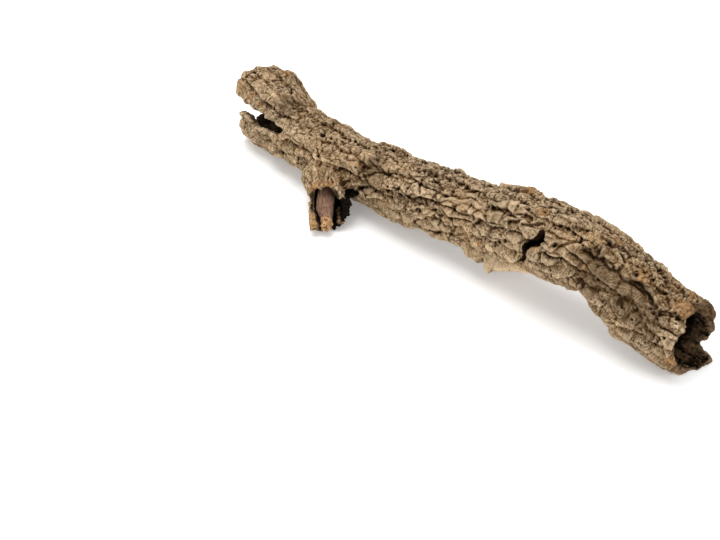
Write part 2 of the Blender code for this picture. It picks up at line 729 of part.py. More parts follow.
def raise_bark(mesh, trunk, stub):
    """Moves the outer surface out and in by the main relief, and roughens the hollow."""
    points = vectors_of(mesh, "co")
    skin = Skin(points, trunk, stub)
    hollow = HOLLOW_LUMPS[0] * noise(points, HOLLOW_LUMPS[1], 41)
    change = whole_relief(skin) * skin.outside + hollow * (1.0 - skin.outside)
    move_points(mesh, points + vectors_of(mesh, "normal") * change[:, None])


# Materials and pieces

def material(name, roughness):
    made = bpy.data.materials.new(name)
    made.use_nodes = True
    shader = made.node_tree.nodes["Principled BSDF"]
    shader.inputs["Base Color"].default_value = COLOURS[name]
    shader.inputs["Roughness"].default_value = roughness
    shader.inputs["Metallic"].default_value = 0.0
    made.diffuse_color = COLOURS[name]
    return made


def collection(name):
    made = bpy.data.collections.new(name)
    bpy.context.scene.collection.children.link(made)
    return made


def hide_guides(guides):
    for guide in guides.objects:
        guide.hide_render = True
        guide.display_type = "WIRE"


def whole_branch(trunk, stub, guides):
    """The branch in one piece: both limbs joined, hollowed, slit, faceted and given their bark."""
    branch = limb_solid("branch", trunk, 0.0, 0.0, trunk.length, ARM_RIM, STEM_RIM, TRUNK_SIDES, guides)
    side = limb_solid("stub_outside", stub, 0.0, 0.0, stub.length, None, STUB_RIM, STUB_SIDES, guides)
    boolean(branch, "UNION", side)
    trunk_past = trunk.length + HOLLOW_PAST
    stub_past = stub.length + HOLLOW_PAST
    cutters = [
        limb_solid("trunk_hollow", trunk, TRUNK_WALL, -HOLLOW_PAST, trunk_past, None, None,
                   TRUNK_HOLLOW_SIDES, guides),
        limb_solid("stub_hollow", stub, STUB_WALL, STUB_HOLLOW_START, stub_past, None, None,
                   STUB_HOLLOW_SIDES, guides),
        slot_solid("arm_slit", trunk, ARM_SLIT, SLOT_DEPTH, guides),
        slot_solid("step_crack", trunk, STEP_CRACK, SLOT_DEPTH, guides),
        slot_solid("mouth_slit", trunk, MOUTH_SLIT, SLOT_DEPTH, guides),
    ]
    for cutter in cutters:
        boolean(branch, "DIFFERENCE", cutter)
    remesh(branch, VOXEL)
    smooth(branch, 0.5, SMOOTH_STEPS)
    settle(branch)
    raise_bark(branch.data, trunk, stub)
    remesh(branch, VOXEL)
    settle(branch)
    decimate(branch, LIMB_TRIANGLES)
    settle(branch)
    return branch


def limb_piece(name, branch, cutters, group, finish):
    piece = bpy.data.objects.new(name, branch.data.copy())
    group.objects.link(piece)
    for cutter in cutters:
        boolean(piece, "DIFFERENCE", cutter)
    piece.data.materials.clear()
    piece.data.materials.append(finish)
    settle(piece)
    return piece


def core_piece(stub, stub_piece, group, guides, finish):
    """The tongue of old wood, kept a gap clear of the bark round it."""
    angle = np.linspace(0.0, 2.0 * math.pi, CORE_SIDES, endpoint=False)
    rings = []
    for at, aside, under, half in CORE_STATIONS:
        ribs = 1.0 + CORE_RIB_HEIGHT * np.cos(CORE_RIBS * angle + at * CORE_TWIST)
        ring = stub.place(np.full(CORE_SIDES, at), angle, half * ribs)
        ring += aside * np.array([np.interp(at, stub.at, stub.front[:, i]) for i in range(3)])
        ring[:, 2] -= under
        rings.append(ring[::-1])
    core = loft("stub_core", np.array(rings), group)
    rounding = core.modifiers.new("Rounding", "SUBSURF")
    rounding.levels = 1
    rounding.render_levels = 1
    clearance = bpy.data.objects.new("core_clearance", stub_piece.data.copy())
    guides.objects.link(clearance)
    swell = clearance.modifiers.new("Swell", "DISPLACE")
    swell.mid_level = 0.0
    swell.strength = LIMB_GAP
    boolean(core, "DIFFERENCE", clearance)
    core.data.materials.append(finish)
    settle(core)
    return core


def main():
    for thing in list(bpy.data.objects):
        bpy.data.objects.remove(thing)
    group = collection(BRANCH)
    guides = collection("cutters")
    trunk = Limb(TRUNK_STATIONS)
    stub = Limb(STUB_STATIONS)
    branch = whole_branch(trunk, stub, guides)
    bark = material("bark", 0.92)
    floor = box_solid("floor", (-FAR, -FAR, -FAR), (FAR, FAR, 0.0), guides)
    not_arm = box_solid("not_arm", (ARM_PLANE_X, -FAR, -FAR), (FAR, FAR, FAR), guides)
    arm = box_solid("arm", (-FAR, -FAR, -FAR), (ARM_PLANE_X + LIMB_GAP, FAR, FAR), guides)
    front = box_solid("front", (-FAR, -FAR, -FAR), (STUB_BESIDE_X, STUB_PLANE_Y, FAR), guides)
    behind = box_solid("behind", (-FAR, STUB_PLANE_Y - LIMB_GAP, -FAR), (FAR, FAR, FAR), guides)
    beside = box_solid("beside", (STUB_BESIDE_X, -FAR, -FAR), (FAR, FAR, FAR), guides)
    limb_piece("main_stem", branch, (floor, arm, front), group, bark)
    limb_piece("upper_arm", branch, (floor, not_arm), group, bark)
    stub_piece = limb_piece("side_stub", branch, (floor, behind, beside), group, bark)
    core_piece(stub, stub_piece, group, guides, material("old_wood", 0.75))
    hide_guides(guides)


main()
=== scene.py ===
import math

import bpy
import numpy as np
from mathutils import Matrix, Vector


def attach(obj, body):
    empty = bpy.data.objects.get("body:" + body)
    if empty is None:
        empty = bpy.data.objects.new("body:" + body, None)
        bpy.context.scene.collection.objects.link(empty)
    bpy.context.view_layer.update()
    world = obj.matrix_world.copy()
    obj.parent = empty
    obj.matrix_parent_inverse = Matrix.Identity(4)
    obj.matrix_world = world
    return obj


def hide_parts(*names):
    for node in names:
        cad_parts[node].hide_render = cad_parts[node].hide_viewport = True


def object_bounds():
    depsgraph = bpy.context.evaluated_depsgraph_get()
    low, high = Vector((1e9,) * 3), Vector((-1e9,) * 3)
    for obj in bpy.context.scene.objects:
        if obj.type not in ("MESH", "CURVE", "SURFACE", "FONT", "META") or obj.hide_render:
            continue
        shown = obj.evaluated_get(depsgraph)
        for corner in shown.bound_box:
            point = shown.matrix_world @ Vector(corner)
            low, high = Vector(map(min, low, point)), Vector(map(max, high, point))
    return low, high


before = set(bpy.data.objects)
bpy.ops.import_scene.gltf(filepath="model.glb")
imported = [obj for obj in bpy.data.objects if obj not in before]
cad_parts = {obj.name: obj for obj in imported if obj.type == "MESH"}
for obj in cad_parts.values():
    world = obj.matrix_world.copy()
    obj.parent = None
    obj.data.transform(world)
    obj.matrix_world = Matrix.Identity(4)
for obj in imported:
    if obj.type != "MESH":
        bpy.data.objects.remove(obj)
cad_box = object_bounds()

# Lengths are in metres and angles in degrees. A lump is a height, a size and a seed. A patch is a noise's
# low and high level, a size and a seed. A wander is a reach, a size and two seeds, for along the limb and
# round it. A pair named as a start, an edge or a face is where something begins and where it is full.

# The same centrelines as the solids: x, y, z and the outer radius there
TRUNK_STATIONS = (
    (-0.2380, 0.0260, 0.0310, 0.0325),
    (-0.2000, 0.0180, 0.0285, 0.0300),
    (-0.1470, 0.0100, 0.0270, 0.0275),
    (-0.0940, 0.0085, 0.0300, 0.0262),
    (-0.0470, 0.0095, 0.0335, 0.0275),
    (0.0020, 0.0145, 0.0375, 0.0275),
    (0.0570, 0.0170, 0.0460, 0.0280),
    (0.1090, 0.0185, 0.0540, 0.0300),
    (0.1510, 0.0225, 0.0530, 0.0300),
    (0.1850, 0.0210, 0.0440, 0.0300),
    (0.2130, 0.0215, 0.0335, 0.0290),
    (0.2285, 0.0245, 0.0285, 0.0288),
)
STUB_STATIONS = (
    (-0.1310, 0.0110, 0.0260, 0.0235),
    (-0.1120, -0.0090, 0.0245, 0.0200),
    (-0.0945, -0.0265, 0.0210, 0.0175),
    (-0.0785, -0.0415, 0.0170, 0.0170),
)
TRUNK_WALL = 0.0090
STUB_WALL = 0.0055

# How far each broken rim reaches past its end station, at angles round it
ARM_RIM = (
    (0, -0.019), (45, 0.007), (80, 0.008), (105, 0.002), (135, 0.001), (180, 0.003), (225, 0.003),
    (270, 0.008), (315, -0.012),
)
STEM_RIM = (
    (0, 0.006), (20, 0.003), (50, 0.006), (72, -0.001), (95, -0.002), (125, 0.002), (147, 0.0095),
    (180, 0.0165), (204, 0.0180), (213, 0.0120), (226, 0.0250), (235, 0.0280), (255, 0.0270),
    (270, 0.0235), (300, 0.0140), (337, 0.0115),
)
STUB_RIM = (
    (0, -0.016), (25, -0.020), (60, -0.015), (90, -0.016), (112, -0.012), (130, -0.005), (150, -0.009),
    (180, 0.001), (225, 0.005), (270, 0.006), (312, 0.012), (330, 0.013), (345, 0.004),
)
RIM_INSET = 0.5
RIM_FADE = 0.040
RIM_RAGGED = (0.0022, 0.011)
RIM_SEEDS = (3, 5)

# Where the fork is parted into its limbs
ARM_PLANE_X = -0.157
STUB_PLANE_Y = -0.0245
STUB_BESIDE_X = -0.035

# Slots through the bark: distance along the trunk, angle and half width at each point of the path
ARM_SLIT = (
    (-0.020, 15, 0.0056), (0.012, 17, 0.0050), (0.019, 21, 0.0034), (0.025, 23, 0.0036),
    (0.031, 20, 0.0052), (0.037, 19, 0.0062), (0.043, 21, 0.0056), (0.048, 25, 0.0046),
    (0.057, 27, 0.0036), (0.065, 29, 0.0028), (0.074, 34, 0.0010),
)
ARM_SLIT_UNDERCUT = 0.012
STEP_CRACK = (
    (0.356, 44, 0.0014), (0.357, 36, 0.0021), (0.355, 27, 0.0021), (0.349, 21, 0.0022),
    (0.347, 12, 0.0013), (0.346, -5, 0.0011), (0.341, -20, 0.0010),
)
MOUTH_SLIT = ((0.463, 99, 0.0016), (0.473, 98, 0.0030), (0.520, 97, 0.0042))
SLOTS = (ARM_SLIT, STEP_CRACK, MOUTH_SLIT)

# How deep the slots reach and how far their cutters clear the bark, and how far past a slot's width its
# painted shade and its broken face fade out
SLOT_DEPTH = 0.016
SLOT_CLEAR = 0.012
SLOT_DARK = (0.0003, 0.0016)
SLOT_FACE = (0.0005, 0.0025)

# Edges of the largest plates: how far the plate on the left of the path stands over its neighbour, how
# deep the crack along it is, and the path as distance along the trunk and angle
PLATE_EDGES = (
    (0.0016, 0.0016, ((0.171, 34), (0.168, 40), (0.164, 49), (0.159, 60), (0.150, 64))),
    (0.0000, 0.0024, ((0.171, 34), (0.175, 27), (0.182, 16))),
    (0.0013, 0.0020, ((0.161, -15), (0.168, -2), (0.174, 9), (0.182, 16), (0.189, 14), (0.206, 13))),
    (0.0011, 0.0018, ((0.169, 65), (0.176, 58), (0.184, 55), (0.196, 52), (0.203, 50), (0.210, 48))),
    (0.0020, 0.0020, ((0.212, 34), (0.218, 29), (0.225, 28), (0.232, 31), (0.241, 35), (0.255, 32))),
    (0.0000, 0.0020, ((0.253, 29), (0.262, 19), (0.269, 14), (0.272, 3), (0.273, -4), (0.267, -21))),
    (0.0000, 0.0020, ((0.263, 18), (0.258, 11), (0.256, 0), (0.255, -15))),
    (0.0008, 0.0014, ((0.224, 3), (0.231, 9), (0.237, 9), (0.242, 4), (0.250, -2))),
    (0.0012, 0.0018, ((0.269, 33), (0.277, 31), (0.289, 30), (0.296, 31))),
    (0.0020, 0.0022, ((0.294, 12), (0.294, 20), (0.299, 29), (0.309, 24), (0.317, 26), (0.325, 30))),
    (0.0016, 0.0020, ((0.325, 37), (0.327, 43), (0.331, 45), (0.337, 49))),
    (0.0012, 0.0016, ((0.337, 43), (0.344, 45), (0.349, 53), (0.355, 59))),
    (0.0020, 0.0024, ((0.357, 17), (0.370, 15), (0.379, 21), (0.388, 19), (0.393, 18), (0.404, 22))),
    (0.0016, 0.0020, ((0.369, -14), (0.378, -12), (0.385, -7), (0.390, 2), (0.391, 12))),
    (0.0020, 0.0024, ((0.385, 52), (0.391, 50), (0.399, 47), (0.405, 55), (0.413, 51), (0.419, 59),
                      (0.417, 71))),
    (0.0000, 0.0022, ((0.400, 49), (0.400, 57), (0.399, 64))),
    (0.0012, 0.0016, ((0.373, 66), (0.377, 71), (0.386, 77))),
    (0.0000, 0.0022, ((0.407, 84), (0.413, 78), (0.419, 74))),
    (0.0022, 0.0020, ((0.433, 93), (0.429, 100), (0.422, 104), (0.412, 107), (0.402, 108))),
    (0.0024, 0.0026, ((0.420, 61), (0.426, 56), (0.435, 65), (0.445, 64), (0.450, 60), (0.453, 51),
                      (0.460, 44))),
    (0.0013, 0.0020, ((0.453, 16), (0.457, 8), (0.461, 4), (0.469, -1))),
    (0.0000, 0.0022, ((0.467, 25), (0.467, 15), (0.468, 2))),
    (0.0008, 0.0024, ((0.471, 97), (0.464, 97), (0.457, 101), (0.445, 104))),
    (0.0000, 0.0026, ((0.393, 0), (0.399, -1), (0.405, -7))),
    (0.0034, 0.0030, ((0.500, 92), (0.450, 88), (0.425, 92), (0.400, 84), (0.388, 84), (0.381, 87),
                      (0.372, 80), (0.364, 80), (0.348, 82), (0.322, 76))),
    (0.0020, 0.0030, ((0.268, -54), (0.290, -47), (0.304, -50), (0.315, -40), (0.331, -27), (0.346, -18))),
)

# The edges' shape: the width of the raised lip, of the fall beside it and of the crack, the fade at both
# ends, and how the traced lines are made uneven
EDGE_LIP = 0.0055
EDGE_FALL = 0.0080
EDGE_FALL_SHARE = 1.5
EDGE_CRACK = 0.0010
EDGE_REACH = 3.0 * EDGE_FALL
EDGE_END_SHARE = 0.12
EDGE_WAVES = ((0.0010, 0.0070, 81, 85), (0.0016, 0.0200, 82, 86))
SIDE_TIE = 0.01
# How deep a plate edge's crack is for the painted shade along it to be full, and the half width of that
# shade
CRACK_DARK_DEPTH = 0.0026
CRACK_DARK_WIDTH = 0.0011

# The loose plate under the stem's belly, thick at its start and run out at its end: where it lies along
# the trunk, between which angles it rises at each side, its height and its steep end
BELLY_PLATE_SPAN = (0.2925, 0.348)
BELLY_PLATE_SIDES = ((-112, -92), (-66, -46))
BELLY_PLATE_HEIGHT = 0.0150
BELLY_PLATE_THINNING = 1.3
BELLY_PLATE_EDGE = 0.0030
BELLY_PLATE_CALM = 0.75
# Between which angles the plate's downward face is painted paler, as painted light
BELLY_PLATE_LIT = (math.radians(-85), math.radians(-60))

# Broad swellings and hollows: distance along, angle, length, width and height
SWELLINGS = (
    (0.022, -40, 0.020, 0.016, 0.0008), (0.014, 132, 0.016, 0.016, 0.0040),
    (0.067, 132, 0.016, 0.014, -0.0030), (0.080, -50, 0.015, 0.014, -0.0048),
    (0.152, -52, 0.012, 0.013, -0.0045), (0.160, -22, 0.010, 0.008, 0.0030),
    (0.170, 130, 0.014, 0.012, 0.0025), (0.207, 60, 0.006, 0.006, 0.0022),
    (0.262, 130, 0.018, 0.014, -0.0022), (0.286, -62, 0.008, 0.012, 0.0095),
    (0.318, 126, 0.011, 0.009, 0.0035), (0.400, -42, 0.013, 0.016, -0.0060),
    (0.440, -42, 0.014, 0.014, 0.0030), (0.425, 110, 0.016, 0.014, 0.0012),
    (0.480, 128, 0.024, 0.020, 0.0056), (0.470, 74, 0.006, 0.005, 0.0044),
    (0.479, 90, 0.004, 0.003, 0.0032), (0.440, 40, 0.020, 0.014, -0.0016),
)

STUB_SWELLINGS = (
    (0.038, 5, 0.012, 0.012, 0.0045), (0.062, 175, 0.010, 0.010, 0.0016),
)

# Holes and pits in the bark: distance along, angle and radius
PITS = (
    (0.051, 55, 0.0018), (0.060, 90, 0.0022), (0.066, 77, 0.0015), (0.086, 23, 0.0016),
    (0.100, -26, 0.0026), (0.113, 68, 0.0024), (0.123, 66, 0.0018), (0.154, -25, 0.0036),
    (0.155, 127, 0.0026), (0.158, 11, 0.0020), (0.163, -10, 0.0032), (0.171, 2, 0.0026),
    (0.172, 107, 0.0022), (0.195, 54, 0.0020), (0.210, 33, 0.0024), (0.212, 22, 0.0024),
    (0.234, 85, 0.0024), (0.240, 73, 0.0018), (0.249, 82, 0.0020), (0.257, 48, 0.0022),
    (0.270, 34, 0.0028), (0.292, 74, 0.0020), (0.301, 83, 0.0020), (0.311, 57, 0.0018),
    (0.327, 8, 0.0020), (0.337, 69, 0.0020), (0.368, 34, 0.0018), (0.384, 56, 0.0022),
    (0.400, 77, 0.0018), (0.423, 3, 0.0020), (0.429, 70, 0.0022), (0.452, 52, 0.0024),
    (0.471, 61, 0.0024), (0.471, 25, 0.0018),
)
PIT_DEPTH_SHARE = 1.2
SPOT_RAGGED = (0.0021, 0.0040, 91, 92)

# Bark: rows of plates that run along the limb, parted by furrows, each row cut across into blocks
UNROLLED_RADIUS = 0.0285
GIRTH = 2.0 * math.pi * UNROLLED_RADIUS
ROW_LENGTH = 0.060
ROW_COUNT = 13
ROW_WIDTH = GIRTH / ROW_COUNT
ROW_JITTER = (0.90, 0.60)
BLOCK_LENGTH = 0.019
BLOCK_JITTER = 0.8
FURROW_DEPTH = 0.0036
CRACK_DEPTH = 0.0022
FURROW_ROUNDING = 0.0032
CRACK_ROUNDING = 0.0023
FURROW_LEVEL = 0.30
FURROW_RUN = (0.35, 0.9)
CRACK_LEVEL = 0.25
ROW_STEP = 0.0020
ROW_TILT = -0.0022
BLOCK_STEP = 0.0018
HEALED_SHARE = 0.15
OPEN_PATCHES = (-0.35, 0.45, 0.026, 6)
DRIFT = (0.0060, 0.030, 1)
WANDER = (0.0050, 0.018, 2)
FLOW = (0.0060, 0.070, 3)
CUT_DRIFT = (0.5, 0.3)
PLATE_LUMPS = ((0.0022, 0.048, 4), (0.0008, 0.0130, 7), (0.0006, 0.0075, 5))
HOLLOW_LUMPS = (0.0012, 0.012, 41)
HOLLOW_STREAKS = (0.0013, 0.0042, 43)
HOLLOW_GRAIN = (0.0008, 0.0024, 44)
STREAK_STRETCH = 0.3
STUB_RELIEF = 0.6
STUB_FINE_RELIEF = 0.55
STUB_TAKES_OVER = 0.010
STUB_STARTS = 0.015
STUB_LEAVES_OFF = (0.008, 0.016)
SKIN_FADE = (-0.0015, 0.0020)
TRUNK_SEED = 11
STUB_SEED = 29

# How a fixed number from 0 to 1 is spread over a row's length or over full turns, and over whole numbers
NUMBER_SPREAD = 57.0
ROW_KEYS = 4096.0

# Fine bark: narrow cracks between and across the plates, depth and half width, where they are open, and
# how much of them is lost in crumbled bark
SPLIT = (0.0013, 0.0007)
CROSS_SPLIT = (0.0011, 0.0006)
SPLIT_PATCHES = (-0.35, 0.25, 0.014, 12)
SPLITS_LOST = 0.5

# Rounded lobes that the plates swell into, like scales that hang over the next one below
LOBE_SIZE = 0.0118
LOBE_SHAPE = 0.66
LOBE_WANDER = (0.0036, 0.011, 52, 53)
LOBE_LEVEL = 0.6
LOBE_RISE = 0.0017
LOBE_ROUNDING = 0.0016
LOBE_TILT = 0.15
LOBE_STEP = 0.0006
LOBES_LOST = 0.65
LOBE_SEED = 23
LOBES_PARTED = (-0.30, 0.35, 0.013, 24)
JOINED_SHARE = 0.25
JOINED_GAP = 0.0016

# Layers that show as small ledges on the plates' shoulders
LAYER_STEP = 0.0007
LAYER_SHARE = 0.45
LAYER_EDGE = (0.30, 0.70)
SHOULDER_LUMPS = (0.0006, 0.0055, 13)

# Where the bark has crumbled: the band along the top, its middle and half widths, the arm, up to which
# distance along and how much, patches, and the shares of the band and of the patches
CRUMBLED_TOP = (104, 20, 44)
CRUMBLED_WANDER = (0.35, 0.030, 72)
CRUMBLED_ARM = (0.10, 0.18, 0.40)
CRUMBLED_PATCHES = (0.05, 0.45, 0.030, 71)
CRUMBLED_SHARES = (0.9, 0.6)

# The arm's lobes and chunks are lower: up to which distance along, and how much lower
ARM_CALM = (0.10, 0.19, 0.38)

# The fine relief's share, and the plates that are smooth and whole: distance along, angle and radius
FINE_SHARE = 0.88
SMOOTH_PLATES = (
    (0.150, 12, 0.013), (0.190, 33, 0.016), (0.190, -4, 0.017), (0.378, 3, 0.013), (0.402, 37, 0.012),
    (0.425, 22, 0.018), (0.447, 26, 0.014), (0.463, 10, 0.009),
)
SMOOTH_SHARE = 0.75

# Crumbled bark, coarse and fine: size of its chunks, slope and step of their tops, depth and half width of
# the gaps between them, and their seed
CHUNKS = ((0.0056, 0.42, 0.0022, 0.0014, 0.0006, 14), (0.0028, 0.60, 0.0011, 0.0008, 0.0005, 54))
CHUNK_SHAPE = 0.50
CHUNK_PATCHES = (-0.45, 0.25, 0.022, 6)
CHUNK_WOBBLE = (0.0020, 0.006, 51)
CHUNKS_ON_PLATES = 0.12

# Growth lines across each plate: pitch, depth, how much they bow and how much each plate's lines lean
LINE_PITCH = 0.0019
LINE_DEPTH = 0.00036
LINE_BOW = 26.0
LINE_LEAN = 0.9
LINE_WOBBLE = (0.0012, 0.008, 15)
LINES_LOST = 0.8

# Grains, coarse to fine
GRAINS = ((0.0008, 0.0068, 16), (0.0014, 0.0036, 17), (0.0016, 0.0022, 18))
GRAIN_LEVEL = 0.3
GRAIN_SHARE = (0.22, 0.72)

# The stub's bark: grooves along it
STUB_GROOVES = (0.0014, 0.0052, 64)
STUB_GROOVE_STRETCH = 0.22

# Small holes in the bark: spacing, radius, depth and the share of places that have one
HOLE_SPACING = 0.0085
HOLE_RADIUS = 0.0010
HOLE_DEPTH = 0.0020
HOLE_SHARE = 0.16
HOLE_RAGGED = (0.0007, 0.0030, 25)
HOLE_SEED = 21

# Places where fresh cork shows: distance along, angle and radius
TORN_SPOTS = (
    (0.010, 125, 0.0060), (0.021, 44, 0.0040), (0.035, 42, 0.0030), (0.071, 24, 0.0045),
    (0.101, 23, 0.0030), (0.160, 57, 0.0028), (0.164, 46, 0.0034), (0.299, -11, 0.0035),
    (0.319, 122, 0.0085), (0.349, 74, 0.0050), (0.353, 18, 0.0034), (0.343, -17, 0.0035),
    (0.397, 28, 0.0026), (0.401, 92, 0.0045), (0.396, 72, 0.0026), (0.430, 79, 0.0036),
    (0.434, 73, 0.0040), (0.464, 78, 0.0040), (0.471, 74, 0.0075), (0.478, 89, 0.0050),
    (0.468, 116, 0.0050), (0.483, -15, 0.0060), (0.4985, -50, 0.0050), (0.505, -72, 0.0060),
    (0.511, -95, 0.0060), (0.513, -112, 0.0060), (0.511, -128, 0.0050),
)

# The same on the stub, measured along and round it
STUB_TORN_SPOTS = (
    (0.057, 30, 0.0045), (0.057, 50, 0.0050), (0.058, 78, 0.0045), (0.059, 98, 0.0040),
    (0.077, 347, 0.0040), (0.085, 338, 0.0050), (0.063, 230, 0.0042), (0.070, 221, 0.0044),
    (0.077, 222, 0.0034),
)

# Deep shade in the fork's corner, up to a height over the trunk's plain surface
CORNER_SHADE = ((0.160, -17, 0.0060), (0.165, -9, 0.0045), (0.171, 0, 0.0030))
CORNER_PROUD = 0.009

# Darker stretches of bark: distance along, angle and radius
STAINS = (
    (0.405, 30, 0.022), (0.432, 42, 0.020), (0.452, 30, 0.016), (0.180, 40, 0.018), (0.060, 75, 0.016),
    (0.487, 138, 0.015), (0.494, 160, 0.012),
)

# The stub's black side, painted near black: where it starts along, and between which angles
BLACK_SIDE_START = (0.046, 0.056)
BLACK_SIDE_ANGLES = ((138, 160), (255, 280))
BLACK_SIDE_CRUMBS = (0.0022, 0.0034, 65)

# Where a broken face may show at the arm's, the stem's and the stub's rim, and how a wall's inner skin and
# its broken face are told from its bark by their depth
ARM_FACE = (0.022, 0.034)
STEM_FACE = (0.012, 0.004)
STUB_FACE = (0.040, 0.050)
HOLLOW_FROM = (0.0018, 0.0002)
FACE_FROM = (0.0020, 0.0034)
# Where, round the stem's mouth, the hollow's skin starts and ends being painted paler, as painted light
MOUTH_LIT = (-0.004, 0.012)

# How far cavities are looked for, in steps over the mesh, and the depth that counts as full
CAVITY = (6, 0.0010)
WIDE_CAVITY = (40, 0.0030)
CORE_CAVITY = (8, 0.0005)

# The widest gap round a lobe that is told apart, in millimetres, how much of the painted shade in the
# mouth's slit is lost on the bark's outside, and how dark the painted shade in pits and on the stub's broken
# face is
GAP_LIMIT_MM = 4.0
SLIT_LOST = 0.5
PIT_DARK = 0.75
FACE_DARK = 0.8

# The tongue of old wood: streaks and grooves along it, and where its tip has broken off
CORE_SHRINK = 0.0002
CORE_STREAKS = (0.00025, 0.0016, 62)
CORE_STREAK_STRETCH = (0.15, 1.0, 1.0)
CORE_GROOVES = (0.0012, 0.0042, 66)
CORE_GROOVE_STRETCH = (0.18, 1.0, 1.0)
TIP_START = (0.078, 0.083)
TIP_RAGGED = (0.0028, 0.0045, 61)
TIP_LUMPS = ((0.0016, 0.0034, 63), (0.0008, 0.0018, 67))
TIP_SUNK = 0.0006

# Fineness of the meshes
CENTRELINE_STEPS = 400
RING_SPACING = 0.006
TRUNK_SIDES = 72
STUB_SIDES = 48
TRUNK_HOLLOW_SIDES = 24
STUB_HOLLOW_SIDES = 20
BLANK_VOXEL = 0.0013
FINE_VOXEL = 0.00078
CORE_VOXEL = 0.0006
SMOOTH_FACTOR = 0.5
BLANK_SMOOTHING = 2
CORE_SMOOTHING = 6
SHARP_ANGLE = math.radians(75.0)
LOCATE_BLOCK = 20000
LOCATE_STRIDE = 4
BRANCH_TRIANGLES = 240000
CORE_TRIANGLES = 30000
HOLLOW_PAST = 0.045
STUB_HOLLOW_START = 0.002
BOX_INSET = 0.0001
FAR = 0.4

# Camera, floor and light: each light's place, its power in watts and its size
CAMERA_PLACE = (0.77636, -0.82365, 0.79939)
CAMERA_TARGET = (-0.01862, -0.06300, 0.0)
LENS_MM = 85
SENSOR_MM = 36
FLOOR_SIZE = 12.0
LIGHTS_AIM = (0.0, 0.0, 0.03)
LIGHTS = (
    ("key", (-0.45, 0.10, 1.70), 32.0, 1.5),
    ("fill", (0.10, -1.60, 0.60), 9.0, 1.6),
    ("side", (1.50, 0.20, 1.00), 5.0, 1.6),
)
WHITE = (1.0, 1.0, 1.0, 1.0)
SURROUNDINGS = 0.60


# Numbers

def smooth_step(low, high, value):
    t = np.clip((value - low) / (high - low), 0.0, 1.0)
    return t * t * (3.0 - 2.0 * t)


def hashed(i, j, k, seed):
    """A fixed number from 0 to 1 for each lattice point."""
    n = (i * 73856093 + j * 19349663 + k * 83492791 + seed * 97531).astype(np.uint32)
    n = (n ^ (n >> np.uint32(15))) * np.uint32(2246822519)
    n = (n ^ (n >> np.uint32(13))) * np.uint32(3266489917)
    n = n ^ (n >> np.uint32(16))
    return n.astype(np.float64) / 4294967295.0


def noise(points, size, seed):
    """Gradient noise, about -1 to 1, with lumps of the given size."""
    place = points / size
    cell = np.floor(place).astype(np.int64)
    inside = place - cell
    ease = inside ** 3 * (inside * (inside * 6.0 - 15.0) + 10.0)
    total = np.zeros(len(points))
    for corner in np.ndindex(2, 2, 2):
        lattice = cell + corner
        weight = np.ones(len(points))
        pull = np.zeros(len(points))
        for axis in range(3):
            weight *= ease[:, axis] if corner[axis] else 1.0 - ease[:, axis]
            gradient = hashed(*lattice.T, seed * 3 + axis) * 2.0 - 1.0
            pull += gradient * (inside[:, axis] - corner[axis])
        total += weight * pull
    return np.clip(total * 1.6, -1.0, 1.0)


def lumpy(points, lump, seed=0):
    """Noise with the lump's height, size and own seed."""
    rise, size, own = lump
    return rise * noise(points, size, own + seed)


def patchy(points, patch, seed=0):
    """From 0 between the patches to 1 on them."""
    low, high, size, own = patch
    return smooth_step(low, high, noise(points, size, own + seed))


def turn_between(angle, degrees):
    """The angle from a direction given in degrees, from half a turn back to half a turn on."""
    return (angle - np.radians(degrees) + math.pi) % (2.0 * math.pi) - math.pi


def straightened(at, angle):
    """Places on a straight round log, so that the bark's pattern doesn't hang on the limb's bends."""
    return np.stack([at, UNROLLED_RADIUS * np.cos(angle), UNROLLED_RADIUS * np.sin(angle)], axis=1)


def wandered(at, angle, *wanders):
    """The same places shifted to and fro, so that what is laid out by them isn't smooth."""
    log = straightened(at, angle)
    for reach, size, seed_along, seed_round in wanders:
        at = at + reach * noise(log, size, seed_along)
        angle = angle + reach * noise(log, size, seed_round) / UNROLLED_RADIUS
    return at, angle


# Limbs

